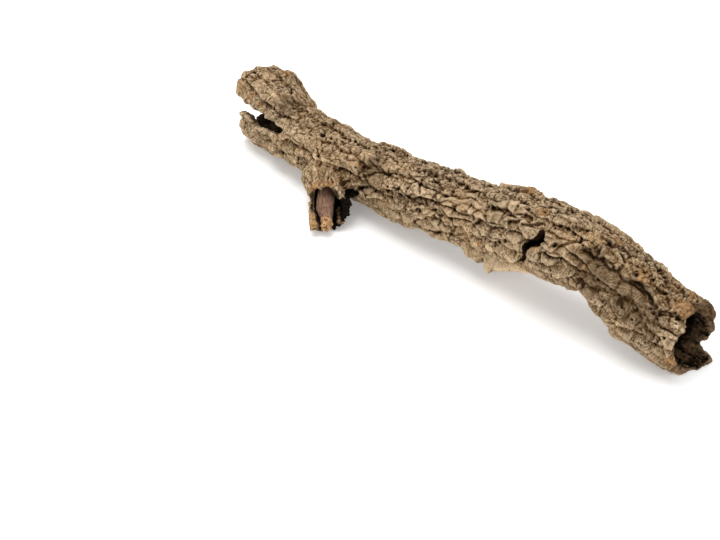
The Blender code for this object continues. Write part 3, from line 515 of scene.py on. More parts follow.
class Limb:
    """A smooth centreline through stations, with its outer radius, and places measured round it."""

    def __init__(self, stations):
        table = np.array(stations)
        chord = np.linalg.norm(np.diff(table[:, :3], axis=0), axis=1)
        at = np.concatenate([[0.0], np.cumsum(chord)])
        slope = np.gradient(table, at, axis=0)
        fine = np.linspace(0.0, at[-1], CENTRELINE_STEPS)
        span = np.clip(np.searchsorted(at, fine, side="right") - 1, 0, len(at) - 2)
        width = (at[span + 1] - at[span])[:, None]
        t = (fine - at[span])[:, None] / width
        curve = (2 * t ** 3 - 3 * t ** 2 + 1) * table[span] + (3 * t ** 2 - 2 * t ** 3) * table[span + 1]
        curve += ((t ** 3 - 2 * t ** 2 + t) * slope[span] + (t ** 3 - t ** 2) * slope[span + 1]) * width
        self.middle = curve[:, :3]
        self.radius = curve[:, 3]
        step = np.linalg.norm(np.diff(self.middle, axis=0), axis=1)
        self.at = np.concatenate([[0.0], np.cumsum(step)])
        self.length = self.at[-1]
        self.along = np.gradient(self.middle, self.at, axis=0)
        self.along /= np.linalg.norm(self.along, axis=1)[:, None]
        self.front = np.cross(self.along, (0.0, 0.0, 1.0))
        self.front /= np.linalg.norm(self.front, axis=1)[:, None]
        self.top = np.cross(self.front, self.along)

    def radius_at(self, at):
        return np.interp(at, self.at, self.radius)

    def place(self, at, angle, out):
        """Points at a distance along, an angle round and a distance out from the centreline."""
        past = at - np.clip(at, 0.0, self.length)
        middle, along, front, top = (
            np.stack([np.interp(at, self.at, row[:, i]) for i in range(3)], axis=-1)
            for row in (self.middle, self.along, self.front, self.top))
        side = front * np.cos(angle)[..., None] + top * np.sin(angle)[..., None]
        return middle + along * past[..., None] + side * out[..., None]

    def locate(self, points):
        """The distance along, the angle round and the distance out of each point."""
        nearest = np.empty(len(points), dtype=int)
        for start in range(0, len(points), LOCATE_BLOCK):
            block = points[start:start + LOCATE_BLOCK]
            gap = ((block[:, None, :] - self.middle[None, ::LOCATE_STRIDE, :]) ** 2).sum(axis=2)
            nearest[start:start + LOCATE_BLOCK] = gap.argmin(axis=1) * LOCATE_STRIDE
        offset = points - self.middle[nearest]
        at = self.at[nearest] + (offset * self.along[nearest]).sum(axis=1)
        near = np.clip(np.searchsorted(self.at, at), 0, len(self.at) - 1)
        offset = points - self.middle[near]
        across = (offset * self.front[near]).sum(axis=1)
        up = (offset * self.top[near]).sum(axis=1)
        return at, np.arctan2(up, across), np.hypot(across, up)


TRUNK = Limb(TRUNK_STATIONS)
STUB = Limb(STUB_STATIONS)


def rim_reach(rim, angle, seed):
    """How far a broken rim stands past its station: the given reaches, made ragged."""
    table = np.array(rim)
    reach = np.interp(np.degrees(angle), table[:, 0], table[:, 1], period=360.0)
    ring = np.stack([np.cos(angle), np.sin(angle), np.full_like(angle, float(seed))], axis=-1)
    return reach + lumpy(ring.reshape(-1, 3) * UNROLLED_RADIUS, (*RIM_RAGGED, seed)).reshape(angle.shape)


# Meshes

def linked(name, mesh):
    made = bpy.data.objects.new(name, mesh)
    bpy.context.scene.collection.objects.link(made)
    return made


def mesh_object(name, vertices, faces):
    mesh = bpy.data.meshes.new(name)
    mesh.from_pydata([tuple(v) for v in vertices], [], faces)
    mesh.update()
    return linked(name, mesh)


def loft(name, rings):
    """A closed solid through rings of points, its two ends closed by fans."""
    count, sides, _ = rings.shape
    vertices = list(rings.reshape(-1, 3)) + [rings[0].mean(axis=0), rings[-1].mean(axis=0)]
    faces = []
    for i in range(count - 1):
        for j in range(sides):
            a, b = i * sides + j, i * sides + (j + 1) % sides
            faces.append((a, b, b + sides, a + sides))
    last = (count - 1) * sides
    for j in range(sides):
        faces.append((count * sides, (j + 1) % sides, j))
        faces.append((count * sides + 1, last + j, last + (j + 1) % sides))
    return mesh_object(name, vertices, faces)


def limb_solid(name, limb, shrink, start, end, sides, rims=(None, None)):
    """A limb's full round solid, drawn in by shrink, between two distances and its broken rims."""
    count = int((end - start) / RING_SPACING)
    angle = np.linspace(0.0, 2.0 * math.pi, sides, endpoint=False)[None, :].repeat(count, axis=0)
    at = np.linspace(start, end, count)[:, None].repeat(sides, axis=1)
    moved = at.copy()
    for rim, seed, way, inward in zip(rims, RIM_SEEDS, (-1.0, 1.0), (at - start, end - at)):
        if rim:
            moved += way * (np.clip(1.0 - inward / RIM_FADE, 0.0, 1.0) * rim_reach(rim, angle, seed))
    out = limb.radius_at(moved) - shrink
    rings = limb.place(moved, angle, out)
    inner = limb.place(moved[[0, -1]], angle[[0, -1]], out[[0, -1]] * RIM_INSET)
    return loft(name, np.concatenate([inner[:1], rings, inner[1:]])[:, ::-1])


def slot_solid(name, path, undercut=0.0):
    """A cutter along a path on the trunk's bark, from the slots' depth under its surface to clear outside
    it, wider inside on its lower side by the undercut."""
    table = np.array(path)
    at, angle, half = table[:, 0], np.radians(table[:, 1]), table[:, 2]
    radius = TRUNK.radius_at(at)
    course = np.gradient(np.stack([at, angle * radius], axis=1), axis=0)
    course /= np.linalg.norm(course, axis=1)[:, None]
    corners = []
    for side, level, extra in (
        (-1, -SLOT_DEPTH, undercut), (1, -SLOT_DEPTH, 0.0), (1, SLOT_CLEAR, 0.0), (-1, SLOT_CLEAR, 0.0),
    ):
        shifted = at - course[:, 1] * (half + extra) * side
        turned = angle + course[:, 0] * (half + extra) * side / radius
        corners.append(TRUNK.place(shifted, turned, radius + level))
    return loft(name, np.stack(corners, axis=1))


def far_box(name, **limits):
    """A box that reaches far on every side for which no limit is given."""
    sides = [(limits.get(axis + "_from", -FAR), limits.get(axis + "_to", FAR)) for axis in "xyz"]
    corners = [(x, y, z) for x in sides[0] for y in sides[1] for z in sides[2]]
    faces = [(0, 1, 3, 2), (4, 6, 7, 5), (0, 4, 5, 1), (2, 3, 7, 6), (0, 2, 6, 4), (1, 5, 7, 3)]
    return mesh_object(name, corners, faces)


def remove(things):
    for thing in things:
        bpy.data.objects.remove(thing)


def modify(thing, kind, **settings):
    """Adds a modifier to the object."""
    step = thing.modifiers.new(kind.title(), kind)
    for key, value in settings.items():
        setattr(step, key, value)


def settle(thing):
    """Gives the object the mesh that its modifiers make, and clears them."""
    graph = bpy.context.evaluated_depsgraph_get()
    mesh = bpy.data.meshes.new_from_object(thing.evaluated_get(graph))
    thing.modifiers.clear()
    thing.data = mesh


def cut(thing, operation, others, solver="EXACT"):
    """Joins or cuts the object with others, one after another."""
    for other in others:
        modify(thing, "BOOLEAN", operation=operation, solver=solver, object=other)
    settle(thing)


def refine(thing, voxel, smoothing=0):
    """Gives the object an even mesh, smoothed over some steps."""
    modify(thing, "REMESH", mode="VOXEL", voxel_size=voxel)
    if smoothing:
        modify(thing, "SMOOTH", factor=SMOOTH_FACTOR, iterations=smoothing)
    settle(thing)


def decimate(thing, triangles):
    thing.data.calc_loop_triangles()
    modify(thing, "DECIMATE", ratio=min(1.0, triangles / len(thing.data.loop_triangles)))
    settle(thing)


def vectors_of(mesh, name):
    flat = np.empty(len(mesh.vertices) * 3, dtype=np.float32)
    mesh.vertices.foreach_get(name, flat)
    return flat.reshape(-1, 3).astype(float)


def move_points(mesh, points):
    mesh.vertices.foreach_set("co", points.astype(np.float32).ravel())
    mesh.update()


# Bark patterns

def neighbours(reach):
    """The steps to the cells up to a number of cells away, each way, and to the cell itself."""
    return [(di, dj) for di in range(-reach, reach + 1) for dj in range(-reach, reach + 1)]


def rows(at, angle, seed):
    """Long cells of the unrolled bark: how far each point is from its row's edge, how much that edge
    runs along the limb, from 0 to 1, a fixed number for the row, and the place across it."""
    here = np.stack([at / ROW_LENGTH, angle / (2.0 * math.pi) * ROW_COUNT], axis=1)
    base = np.floor(here).astype(np.int64)

    def centre(di, dj):
        i, j = base[:, 0] + di, base[:, 1] + dj
        wrapped = j % ROW_COUNT
        x = i + 0.5 + ROW_JITTER[0] * (hashed(i, wrapped, 0, seed) - 0.5)
        y = j + 0.5 + ROW_JITTER[1] * (hashed(i, wrapped, 1, seed) - 0.5)
        return np.stack([x, y], axis=1) - here, hashed(i, wrapped, 2, seed)

    nearest = np.full(len(at), np.inf)
    own = np.zeros((len(at), 2))
    value = np.zeros(len(at))
    for di, dj in neighbours(1):
        gap, number = centre(di, dj)
        far = (gap ** 2).sum(axis=1)
        closer = far < nearest
        nearest = np.where(closer, far, nearest)
        own[closer] = gap[closer]
        value = np.where(closer, number, value)
    edge = np.full(len(at), np.inf)
    lengthwise = np.zeros(len(at))
    for di, dj in neighbours(2):
        gap, _ = centre(di, dj)
        between = gap - own
        size = np.linalg.norm(between, axis=1)
        other = size > 1e-6
        unit = between / np.where(other, size, 1.0)[:, None]
        real = np.where(other, np.hypot(unit[:, 0] / ROW_LENGTH, unit[:, 1] / ROW_WIDTH), 1.0)
        far = ((own + gap) * 0.5 * unit).sum(axis=1) / real
        closer = other & (far < edge)
        edge = np.where(closer, far, edge)
        lengthwise = np.where(closer, np.abs(unit[:, 1] / ROW_WIDTH) / real, lengthwise)
    return edge, lengthwise, value, -own[:, 1]


def blocks(at, row, seed):
    """The cuts across one row: how far each point is from the nearest, and its block's fixed number."""
    place = at / BLOCK_LENGTH + row * NUMBER_SPREAD
    cell = np.floor(place).astype(np.int64)
    row_key = (row * ROW_KEYS).astype(np.int64)
    edge = np.full(len(at), np.inf)
    first = cell.copy()
    for step in (-1, 0, 1, 2):
        line = cell + step + BLOCK_JITTER * (hashed(cell + step, row_key, 0, seed) - 0.5)
        edge = np.minimum(edge, np.abs(place - line) * BLOCK_LENGTH)
        first = np.where(line <= place, cell + step, first)
    return edge, hashed(first, row_key, 1, seed)


def lumps(at, angle, size, seed):
    """Round cells all over the unrolled bark: each point's distance from its cell's edge, its place from
    the cell's middle, along and across, and the cell's fixed number."""
    count = int(round(GIRTH / size))
    here = np.stack([at / size, angle / (2.0 * math.pi) * count], axis=1)
    base = np.floor(here).astype(np.int64)
    first, second = np.full((2, len(at)), np.inf)
    place = np.zeros((len(at), 2))
    value = np.zeros(len(at))
    for di, dj in neighbours(1):
        i, j = base[:, 0] + di, base[:, 1] + dj
        wrapped = j % count
        middle = np.stack([i + hashed(i, wrapped, 0, seed), j + hashed(i, wrapped, 1, seed)], axis=1)
        far = np.linalg.norm(here - middle, axis=1)
        closer = far < first
        second = np.where(closer, first, np.minimum(second, far))
        value = np.where(closer, hashed(i, wrapped, 2, seed), value)
        place = np.where(closer[:, None], here - middle, place)
        first = np.where(closer, far, first)
    return (second - first) * 0.5 * size, place * size, value


def sloped(place, number):
    """Height over a cell whose top slopes 1 in 1, each cell its own way."""
    turn = number * NUMBER_SPREAD * 2.0 * math.pi
    return place[:, 0] * np.cos(turn) + place[:, 1] * np.sin(turn)


def lobes(at, angle, seed):
    """The rounded lobes of the plates, as cells of the unrolled bark."""
    along, turned = wandered(at, angle, LOBE_WANDER)
    return lumps(along * LOBE_SHAPE, turned, LOBE_SIZE, seed + LOBE_SEED)


def lobe_gap(at, angle, seed):
    """How far each point is from the crease round its lobe, further where the crease is grown over."""
    parted = patchy(straightened(at, angle), LOBES_PARTED, seed)
    return lobes(at, angle, seed)[0] + JOINED_GAP * (1.0 - parted)


# The bark's main relief, the same as the solids carry

def beside(path, at, angle):
    """How far each point is from a path on the unrolled bark, above 0 on its left, and how far along the
    path its nearest place is, from 0 to 1."""
    table = np.array(path, dtype=float)
    line = np.stack([table[:, 0], np.radians(table[:, 1] - table[0, 1]) * UNROLLED_RADIUS], axis=1)
    here = np.stack([at, turn_between(angle, table[0, 1]) * UNROLLED_RADIUS], axis=1)
    length = np.linalg.norm(np.diff(line, axis=0), axis=1)
    passed = np.concatenate([[0.0], np.cumsum(length)])
    nearest = np.full(len(at), np.inf)
    gap = np.zeros(len(at))
    share = np.zeros(len(at))
    for i, size in enumerate(length):
        course = (line[i + 1] - line[i]) / size
        offset = here - line[i]
        ahead = np.clip(offset @ course, 0.0, size)
        side = course[0] * offset[:, 1] - course[1] * offset[:, 0]
        far = np.linalg.norm(offset - ahead[:, None] * course, axis=1)
        rank = far - SIDE_TIE * np.abs(side)
        closer = rank < nearest
        nearest = np.where(closer, rank, nearest)
        gap = np.where(closer, np.where(side < 0.0, -far, far), gap)
        share = np.where(closer, (passed[i] + ahead) / passed[-1], share)
    return gap, share


def along_edges(at, angle):
    """For the edge of each of the largest plates: its rise and its crack's depth, which points are near
    it, how far beside it they are, and a fade to 0 at its ends."""
    at, angle = wandered(at, angle, *EDGE_WAVES)
    for rise, crack, path in PLATE_EDGES:
        span = [along for along, _ in path]
        near = np.flatnonzero((at > min(span) - EDGE_REACH) & (at < max(span) + EDGE_REACH))
        gap, share = beside(path, at[near], angle[near])
        fade = smooth_step(0.0, EDGE_END_SHARE, share)
        yield rise, crack, near, gap, fade * (1.0 - smooth_step(1.0 - EDGE_END_SHARE, 1.0, share))


def plate_edges(at, angle):
    """The steps and cracks along the edges of the largest plates."""
    height = np.zeros(len(at))
    for rise, crack, near, gap, fade in along_edges(at, angle):
        lip = np.exp(-(gap / EDGE_LIP) ** 2) * (gap > 0.0)
        fall = np.exp(-np.abs(gap) / EDGE_FALL) * (gap <= 0.0)
        groove = crack * np.exp(-(gap / EDGE_CRACK) ** 2)
        height[near] += fade * (rise * (lip - EDGE_FALL_SHARE * fall) - groove)
    return height


def crack_lines(at, angle):
    """From 0 to 1 in the cracks along the edges of the largest plates."""
    line = np.zeros(len(at))
    for _, crack, near, gap, fade in along_edges(at, angle):
        depth = min(1.0, crack / CRACK_DARK_DEPTH)
        line[near] = np.maximum(line[near], fade * depth * np.exp(-(gap / CRACK_DARK_WIDTH) ** 2))
    return line


def plateau(rise, fall, value):
    """From 0 to 1 over the rise and back to 0 over the fall."""
    return smooth_step(*rise, value) * (1.0 - smooth_step(*fall, value))


def belly_plate(at, angle):
    """How much of the loose plate under the stem there is at each point, from 0 to 1, and its height."""
    start, end = BELLY_PLATE_SPAN
    share = smooth_step(start, start + BELLY_PLATE_EDGE, at) * (at < end)
    share *= plateau(*BELLY_PLATE_SIDES, np.degrees(angle))
    left = np.clip((end - at) / (end - start), 0.0, 1.0)
    return share, BELLY_PLATE_HEIGHT * share * left ** BELLY_PLATE_THINNING


def swellings(places, at, angle, radius):
    height = np.zeros(len(at))
    for along, turn, length, width, rise in places:
        across = turn_between(angle, turn) * radius
        height += rise * np.exp(-((at - along) / length) ** 2 - (across / width) ** 2)
    return height


def spots(places, at, angle, radius):
    """Each point's nearness to a spot, from 1 at its middle to 0 outside it, and that spot's own radius."""
    at, angle = wandered(at, angle, SPOT_RAGGED)
    near = np.zeros(len(at))
    size_there = np.zeros(len(at))
    for along, turn, size in places:
        far = np.hypot(at - along, turn_between(angle, turn) * radius) / size
        own = np.exp(-far ** 4)
        size_there = np.where(own > near, size, size_there)
        near = np.maximum(near, own)
    return near, size_there


class Plates:
    """Which plate of bark each point is on, and how far it is from the plate's edges."""

    def __init__(self, at, angle, seed):
        self.log = straightened(at, angle)
        line = np.stack([at, at * 0.0, at * 0.0], axis=1)
        drift = lumpy(self.log, DRIFT, seed)
        wander = lumpy(self.log, WANDER, seed)
        turned = angle + (wander + lumpy(line, FLOW, seed)) / UNROLLED_RADIUS
        self.edge, self.lengthwise, self.row, self.across = rows(at + drift, turned, seed)
        along = at + drift * CUT_DRIFT[0] + wander * CUT_DRIFT[1]
        self.cut, self.block = blocks(along, self.row, seed)


def main_relief(at, angle, seed):
    """Height of the bark over a limb's plain surface, as on the solids."""
    plates = Plates(at, angle, seed)
    open_share = HEALED_SHARE + (1.0 - HEALED_SHARE) * patchy(plates.log, OPEN_PATCHES, seed)
    depth = CRACK_DEPTH + (FURROW_DEPTH - CRACK_DEPTH) * smooth_step(*FURROW_RUN, plates.lengthwise)
    height = (FURROW_LEVEL - np.exp(-plates.edge / FURROW_ROUNDING)) * depth * open_share
    height += (CRACK_LEVEL - np.exp(-plates.cut / CRACK_ROUNDING)) * CRACK_DEPTH * open_share
    height += (plates.row - 0.5) * ROW_STEP + (plates.block - 0.5) * BLOCK_STEP + plates.across * ROW_TILT
    for lump in PLATE_LUMPS:
        height += lumpy(plates.log, lump, seed)
    return height


# The bark's fine relief

def crumbling(log, at, angle):
    """From 0 on sound plates to 1 where the bark has crumbled: along the top, on the arm and in patches."""
    middle, low, high = CRUMBLED_TOP
    turn = turn_between(angle, middle) + lumpy(log, CRUMBLED_WANDER)
    top = 1.0 - smooth_step(*np.radians((low, high)), np.abs(turn))
    arm = CRUMBLED_ARM[2] * (1.0 - smooth_step(*CRUMBLED_ARM[:2], at))
    patch = patchy(log, CRUMBLED_PATCHES)
    return np.clip(top * CRUMBLED_SHARES[0] + arm + patch * CRUMBLED_SHARES[1], 0.0, 1.0)


def fine_relief(at, angle, seed):
    """Small cracks, ledges, rubble, growth lines, grains and holes, on top of the main relief."""
    plates = Plates(at, angle, seed)
    log = plates.log
    whole = FINE_SHARE
    if seed == TRUNK_SEED:
        whole -= SMOOTH_SHARE * FINE_SHARE * spots(SMOOTH_PLATES, at, angle, UNROLLED_RADIUS)[0]
        whole *= 1.0 - ARM_CALM[2] * (1.0 - smooth_step(*ARM_CALM[:2], at))
    rough = crumbling(log, at, angle) * whole
    broken = patchy(log, SPLIT_PATCHES, seed)
    left = 1.0 - SPLITS_LOST * rough
    height = -SPLIT[0] * np.exp(-(plates.edge / SPLIT[1]) ** 2) * broken * left
    height -= CROSS_SPLIT[0] * np.exp(-(plates.cut / CROSS_SPLIT[1]) ** 2) * broken * left
    shoulder = np.exp(-plates.edge / FURROW_ROUNDING) * FURROW_DEPTH
    shoulder += np.exp(-plates.cut / CRACK_ROUNDING) * CRACK_DEPTH + lumpy(log, SHOULDER_LUMPS, seed)
    part = shoulder / LAYER_STEP % 1.0
    height += (part - smooth_step(*LAYER_EDGE, part)) * LAYER_STEP * LAYER_SHARE
    gap, place, number = lobes(at, angle, seed)
    apart = JOINED_SHARE + (1.0 - JOINED_SHARE) * patchy(log, LOBES_PARTED, seed)
    lobe = LOBE_RISE * (LOBE_LEVEL - np.exp(-gap / LOBE_ROUNDING)) * apart + (number - 0.5) * LOBE_STEP
    lobe -= LOBE_TILT * place[:, 1] * np.cos(angle)
    height += lobe * (1.0 - LOBES_LOST * rough) * whole
    wobble = lumpy(log, CHUNK_WOBBLE)
    for size, slope, rise, groove, half, own in CHUNKS:
        along = (at + wobble) * CHUNK_SHAPE
        gap, place, number = lumps(along, angle - wobble / UNROLLED_RADIUS, size, seed + own)
        chunk = (number - 0.5) * rise + slope * sloped(place, number) - groove * np.exp(-(gap / half) ** 2)
        share = patchy(log, CHUNK_PATCHES, seed + own)
        height += chunk * share * (CHUNKS_ON_PLATES + (1.0 - CHUNKS_ON_PLATES) * rough) * whole
    lean = (plates.block - 0.5) * LINE_LEAN
    bow = LINE_BOW * (plates.across * 2.0 * math.pi * UNROLLED_RADIUS / ROW_COUNT) ** 2
    phase = (at + bow + lean * angle * UNROLLED_RADIUS + lumpy(log, LINE_WOBBLE, seed)) / LINE_PITCH
    height -= LINE_DEPTH * np.abs(np.cos(math.pi * phase)) ** 3 * (1.0 - LINES_LOST * rough)
    for rise, size, own in GRAINS:
        grain = rise * (np.abs(noise(log, size, seed + own)) - GRAIN_LEVEL)
        height += grain * (GRAIN_SHARE[0] + GRAIN_SHARE[1] * rough)
    _, place, number = lumps(at, angle, HOLE_SPACING, seed + HOLE_SEED)
    middle = np.linalg.norm(place, axis=1) + lumpy(log, HOLE_RAGGED, seed)
    height -= HOLE_DEPTH * np.exp(-(middle / HOLE_RADIUS) ** 4) * (number < HOLE_SHARE)
    return height


# Where a point is on the branch

class Skin:
    """Each point's place on the trunk and on the stub, and how much of it is stub, bark and hollow."""

    def __init__(self, points):
        self.at, self.angle, out = TRUNK.locate(points)
        self.stub_at, self.stub_angle, stub_out = STUB.locate(points)
        self.radius = TRUNK.radius_at(self.at)
        self.proud = out - self.radius
        self.stub_radius = STUB.radius_at(self.stub_at)
        stub_proud = stub_out - self.stub_radius
        self.stub_share = smooth_step(0.0, STUB_TAKES_OVER, self.proud) * (self.stub_at > STUB_STARTS)
        self.stub_share *= 1.0 - smooth_step(*STUB_LEAVES_OFF, stub_proud)
        self.trunk_share = 1.0 - self.stub_share
        self.from_middle = (self.proud + TRUNK_WALL * 0.5) * self.trunk_share
        self.from_middle += (stub_proud + STUB_WALL * 0.5) * self.stub_share
        self.outside = smooth_step(*SKIN_FADE, self.from_middle)
        self.on_trunk = (self.at, self.angle, self.radius)
        self.on_stub = (self.stub_at, self.stub_angle, self.stub_radius)

    def blend(self, relief, stub_scale):
        """The relief of the trunk and, where it counts, of the stub."""
        height = relief(self.at, self.angle, TRUNK_SEED)
        on_stub = self.stub_share > 0.0
        finer = stub_scale * relief(self.stub_at[on_stub], self.stub_angle[on_stub], STUB_SEED)
        share = self.stub_share[on_stub]
        height[on_stub] = height[on_stub] * (1.0 - share) + finer * share
        return height


def own_features(skin):
    """The trunk's own steps, swellings, pits and loose plate, and the stub's swellings."""
    height = plate_edges(skin.at, skin.angle) + swellings(SWELLINGS, *skin.on_trunk)
    near, size = spots(PITS, *skin.on_trunk)
    height -= near * size * PIT_DEPTH_SHARE
    height += belly_plate(skin.at, skin.angle)[1]
    return height * skin.trunk_share + swellings(STUB_SWELLINGS, *skin.on_stub) * skin.stub_share


def whole_relief(skin):
    """Height of the outer surface over the plain limbs."""
    calm = 1.0 - BELLY_PLATE_CALM * belly_plate(skin.at, skin.angle)[0]
    return skin.blend(main_relief, STUB_RELIEF) * calm + own_features(skin)


def stub_relief(skin):
    """The grooves along the stub's bark, and the crumbs of its black side."""
    log = straightened(skin.stub_at * STUB_GROOVE_STRETCH, skin.stub_angle)
    height = -np.abs(lumpy(log, STUB_GROOVES)) * skin.stub_share
    return height + lumpy(straightened(skin.stub_at, skin.stub_angle), BLACK_SIDE_CRUMBS) * black_side(skin)


def raised(mesh, points, skin, outer, inner):
    """The points moved out by one height on the bark and by another in the hollow."""
    change = outer * skin.outside + inner * (1.0 - skin.outside)
    return points + vectors_of(mesh, "normal") * change[:, None]


def raise_bark(mesh):
    """Moves the outer surface out and in by the main relief, and roughens the hollow."""
    points = vectors_of(mesh, "co")
    skin = Skin(points)
    move_points(mesh, raised(mesh, points, skin, whole_relief(skin), lumpy(points, HOLLOW_LUMPS)))


def roughen_bark(mesh):
    """Adds the fine relief outside, and a coarse grain on the hollow's wall and the broken faces."""
    points = vectors_of(mesh, "co")
    skin = Skin(points)
    relief = skin.blend(fine_relief, STUB_FINE_RELIEF) + stub_relief(skin)
    grain = lumpy(straightened(skin.at * STREAK_STRETCH, skin.angle), HOLLOW_STREAKS)
    grain += lumpy(points, HOLLOW_GRAIN)
    low, high = np.array(cad_box[0]) + BOX_INSET, np.array(cad_box[1]) - BOX_INSET
    low[2] = -FAR
    move_points(mesh, np.clip(raised(mesh, points, skin, relief, grain), low, high))


# What the materials read from the meshes

def neighbour_mean(values, edges, count):
    """The mean of each point's neighbours."""
    total = np.zeros_like(values)
    for i in range(values.shape[1]):
        total[:, i] = np.bincount(edges[:, 0], values[edges[:, 1], i], len(values))
        total[:, i] += np.bincount(edges[:, 1], values[edges[:, 0], i], len(values))
    return total / count[:, None]


def cavity_of(mesh, steps, full):
    """How far each point lies below the surface smoothed over some steps, from -1 to 1 at the full depth."""
    points = vectors_of(mesh, "co")
    normals = vectors_of(mesh, "normal")
    edges = np.empty(len(mesh.edges) * 2, dtype=np.int32)
    mesh.edges.foreach_get("vertices", edges)
    edges = edges.reshape(-1, 2)
    count = np.maximum(np.bincount(edges.ravel(), minlength=len(points)), 1)
    soft = points.copy()
    facing = normals.copy()
    for _ in range(steps):
        soft = soft * 0.5 + neighbour_mean(soft, edges, count) * 0.5
        facing = facing * 0.5 + neighbour_mean(facing, edges, count) * 0.5
    return np.clip(((soft - points) * facing).sum(axis=1) / full, -1.0, 1.0)


def store(mesh, name, values):
    """Keeps one number, or one vector, for each point of the mesh."""
    kind, field = ("FLOAT", "value") if values.ndim == 1 else ("FLOAT_VECTOR", "vector")
    made = mesh.attributes.new(name, kind, "POINT")
    made.data.foreach_set(field, values.astype(np.float32).ravel())


def black_side(skin):
    """From 0 to 1 on the side of the stub that is black and crumbly."""
    side = plateau(*BLACK_SIDE_ANGLES, np.degrees(skin.stub_angle) % 360.0)
    return side * smooth_step(*BLACK_SIDE_START, skin.stub_at) * skin.stub_share


def near_slot(path, skin, margins):
    """From 1 within a slot's width of its path and the first margin to 0 past the second margin."""
    table = np.array(path)
    gap, share = beside(table[:, :2], skin.at, skin.angle)
    half = np.interp(share, np.linspace(0.0, 1.0, len(table)), table[:, 2])
    return 1.0 - smooth_step(half + margins[0], half + margins[1], np.abs(gap))


def near_opening(skin):
    """From 0 to 1 near the broken rims and along the slots."""
    near = 1.0 - smooth_step(*ARM_FACE, skin.at)
    near = np.maximum(near, smooth_step(*(TRUNK.length - inset for inset in STEM_FACE), skin.at))
    near = np.maximum(near, skin.stub_share * smooth_step(*STUB_FACE, skin.stub_at))
    for path in SLOTS:
        near = np.maximum(near, near_slot(path, skin, SLOT_FACE))
    return near


def describe(mesh):
    """Stores on a piece of the branch what its material needs to know."""
    skin = Skin(vectors_of(mesh, "co"))
    plates = Plates(skin.at, skin.angle, TRUNK_SEED)
    stub_torn = spots(STUB_TORN_SPOTS, *skin.on_stub)[0]
    torn = np.maximum(spots(TORN_SPOTS, *skin.on_trunk)[0] * skin.trunk_share, stub_torn * skin.stub_share)
    wall = TRUNK_WALL * skin.trunk_share + STUB_WALL * skin.stub_share
    depth = wall * 0.5 - skin.from_middle
    hollow = smooth_step(*(wall - inset for inset in HOLLOW_FROM), depth)
    face = smooth_step(*FACE_FROM, depth + whole_relief(skin)) * (1.0 - hollow) * near_opening(skin)
    # Painted shade along the largest plates' cracks, the step crack and the mouth's slit
    cracks = crack_lines(skin.at, skin.angle) * skin.outside
    cracks = np.maximum(cracks, near_slot(STEP_CRACK, skin, SLOT_DARK))
    slit = near_slot(MOUTH_SLIT, skin, SLOT_DARK) * (1.0 - SLIT_LOST * skin.outside)
    # Painted shade: pits, the stub's broken face and the fork's corner are painted near black, as is the
    # stub's black side
    pits = PIT_DARK * spots(PITS, *skin.on_trunk)[0] * skin.outside * skin.trunk_share
    unlit = np.maximum(black_side(skin), FACE_DARK * face * skin.stub_share) * (1.0 - stub_torn)
    corner = spots(CORNER_SHADE, *skin.on_trunk)[0] * (skin.proud < CORNER_PROUD)
    # Painted light on the downward face of the loose belly plate
    belly_light = belly_plate(skin.at, skin.angle)[0] * smooth_step(*BELLY_PLATE_LIT, skin.angle)
    for name, values in (
        ("log", plates.log),
        ("plate", plates.row * 0.5 + plates.block * 0.5),
        ("gap", np.clip(skin.blend(lobe_gap, 1.0) * 1000.0, 0.0, GAP_LIMIT_MM)),
        ("cavity", cavity_of(mesh, *CAVITY)),
        ("hollowness", cavity_of(mesh, *WIDE_CAVITY)),
        ("inside", hollow * (1.0 - stub_torn * skin.stub_share)),
        ("mouth", hollow * smooth_step(*(TRUNK.length + past for past in MOUTH_LIT), skin.at)),
        ("pale", belly_light * skin.outside),
        ("torn", torn),
        ("face", face),
        ("crack", np.maximum(cracks, slit) * skin.trunk_share),
        ("stain", spots(STAINS, *skin.on_trunk)[0] * skin.trunk_share),
        ("dark", np.maximum(np.maximum(pits, unlit), corner)),
        ("crumbled", crumbling(plates.log, skin.at, skin.angle)),
    ):
        store(mesh, name, values)


# Materials

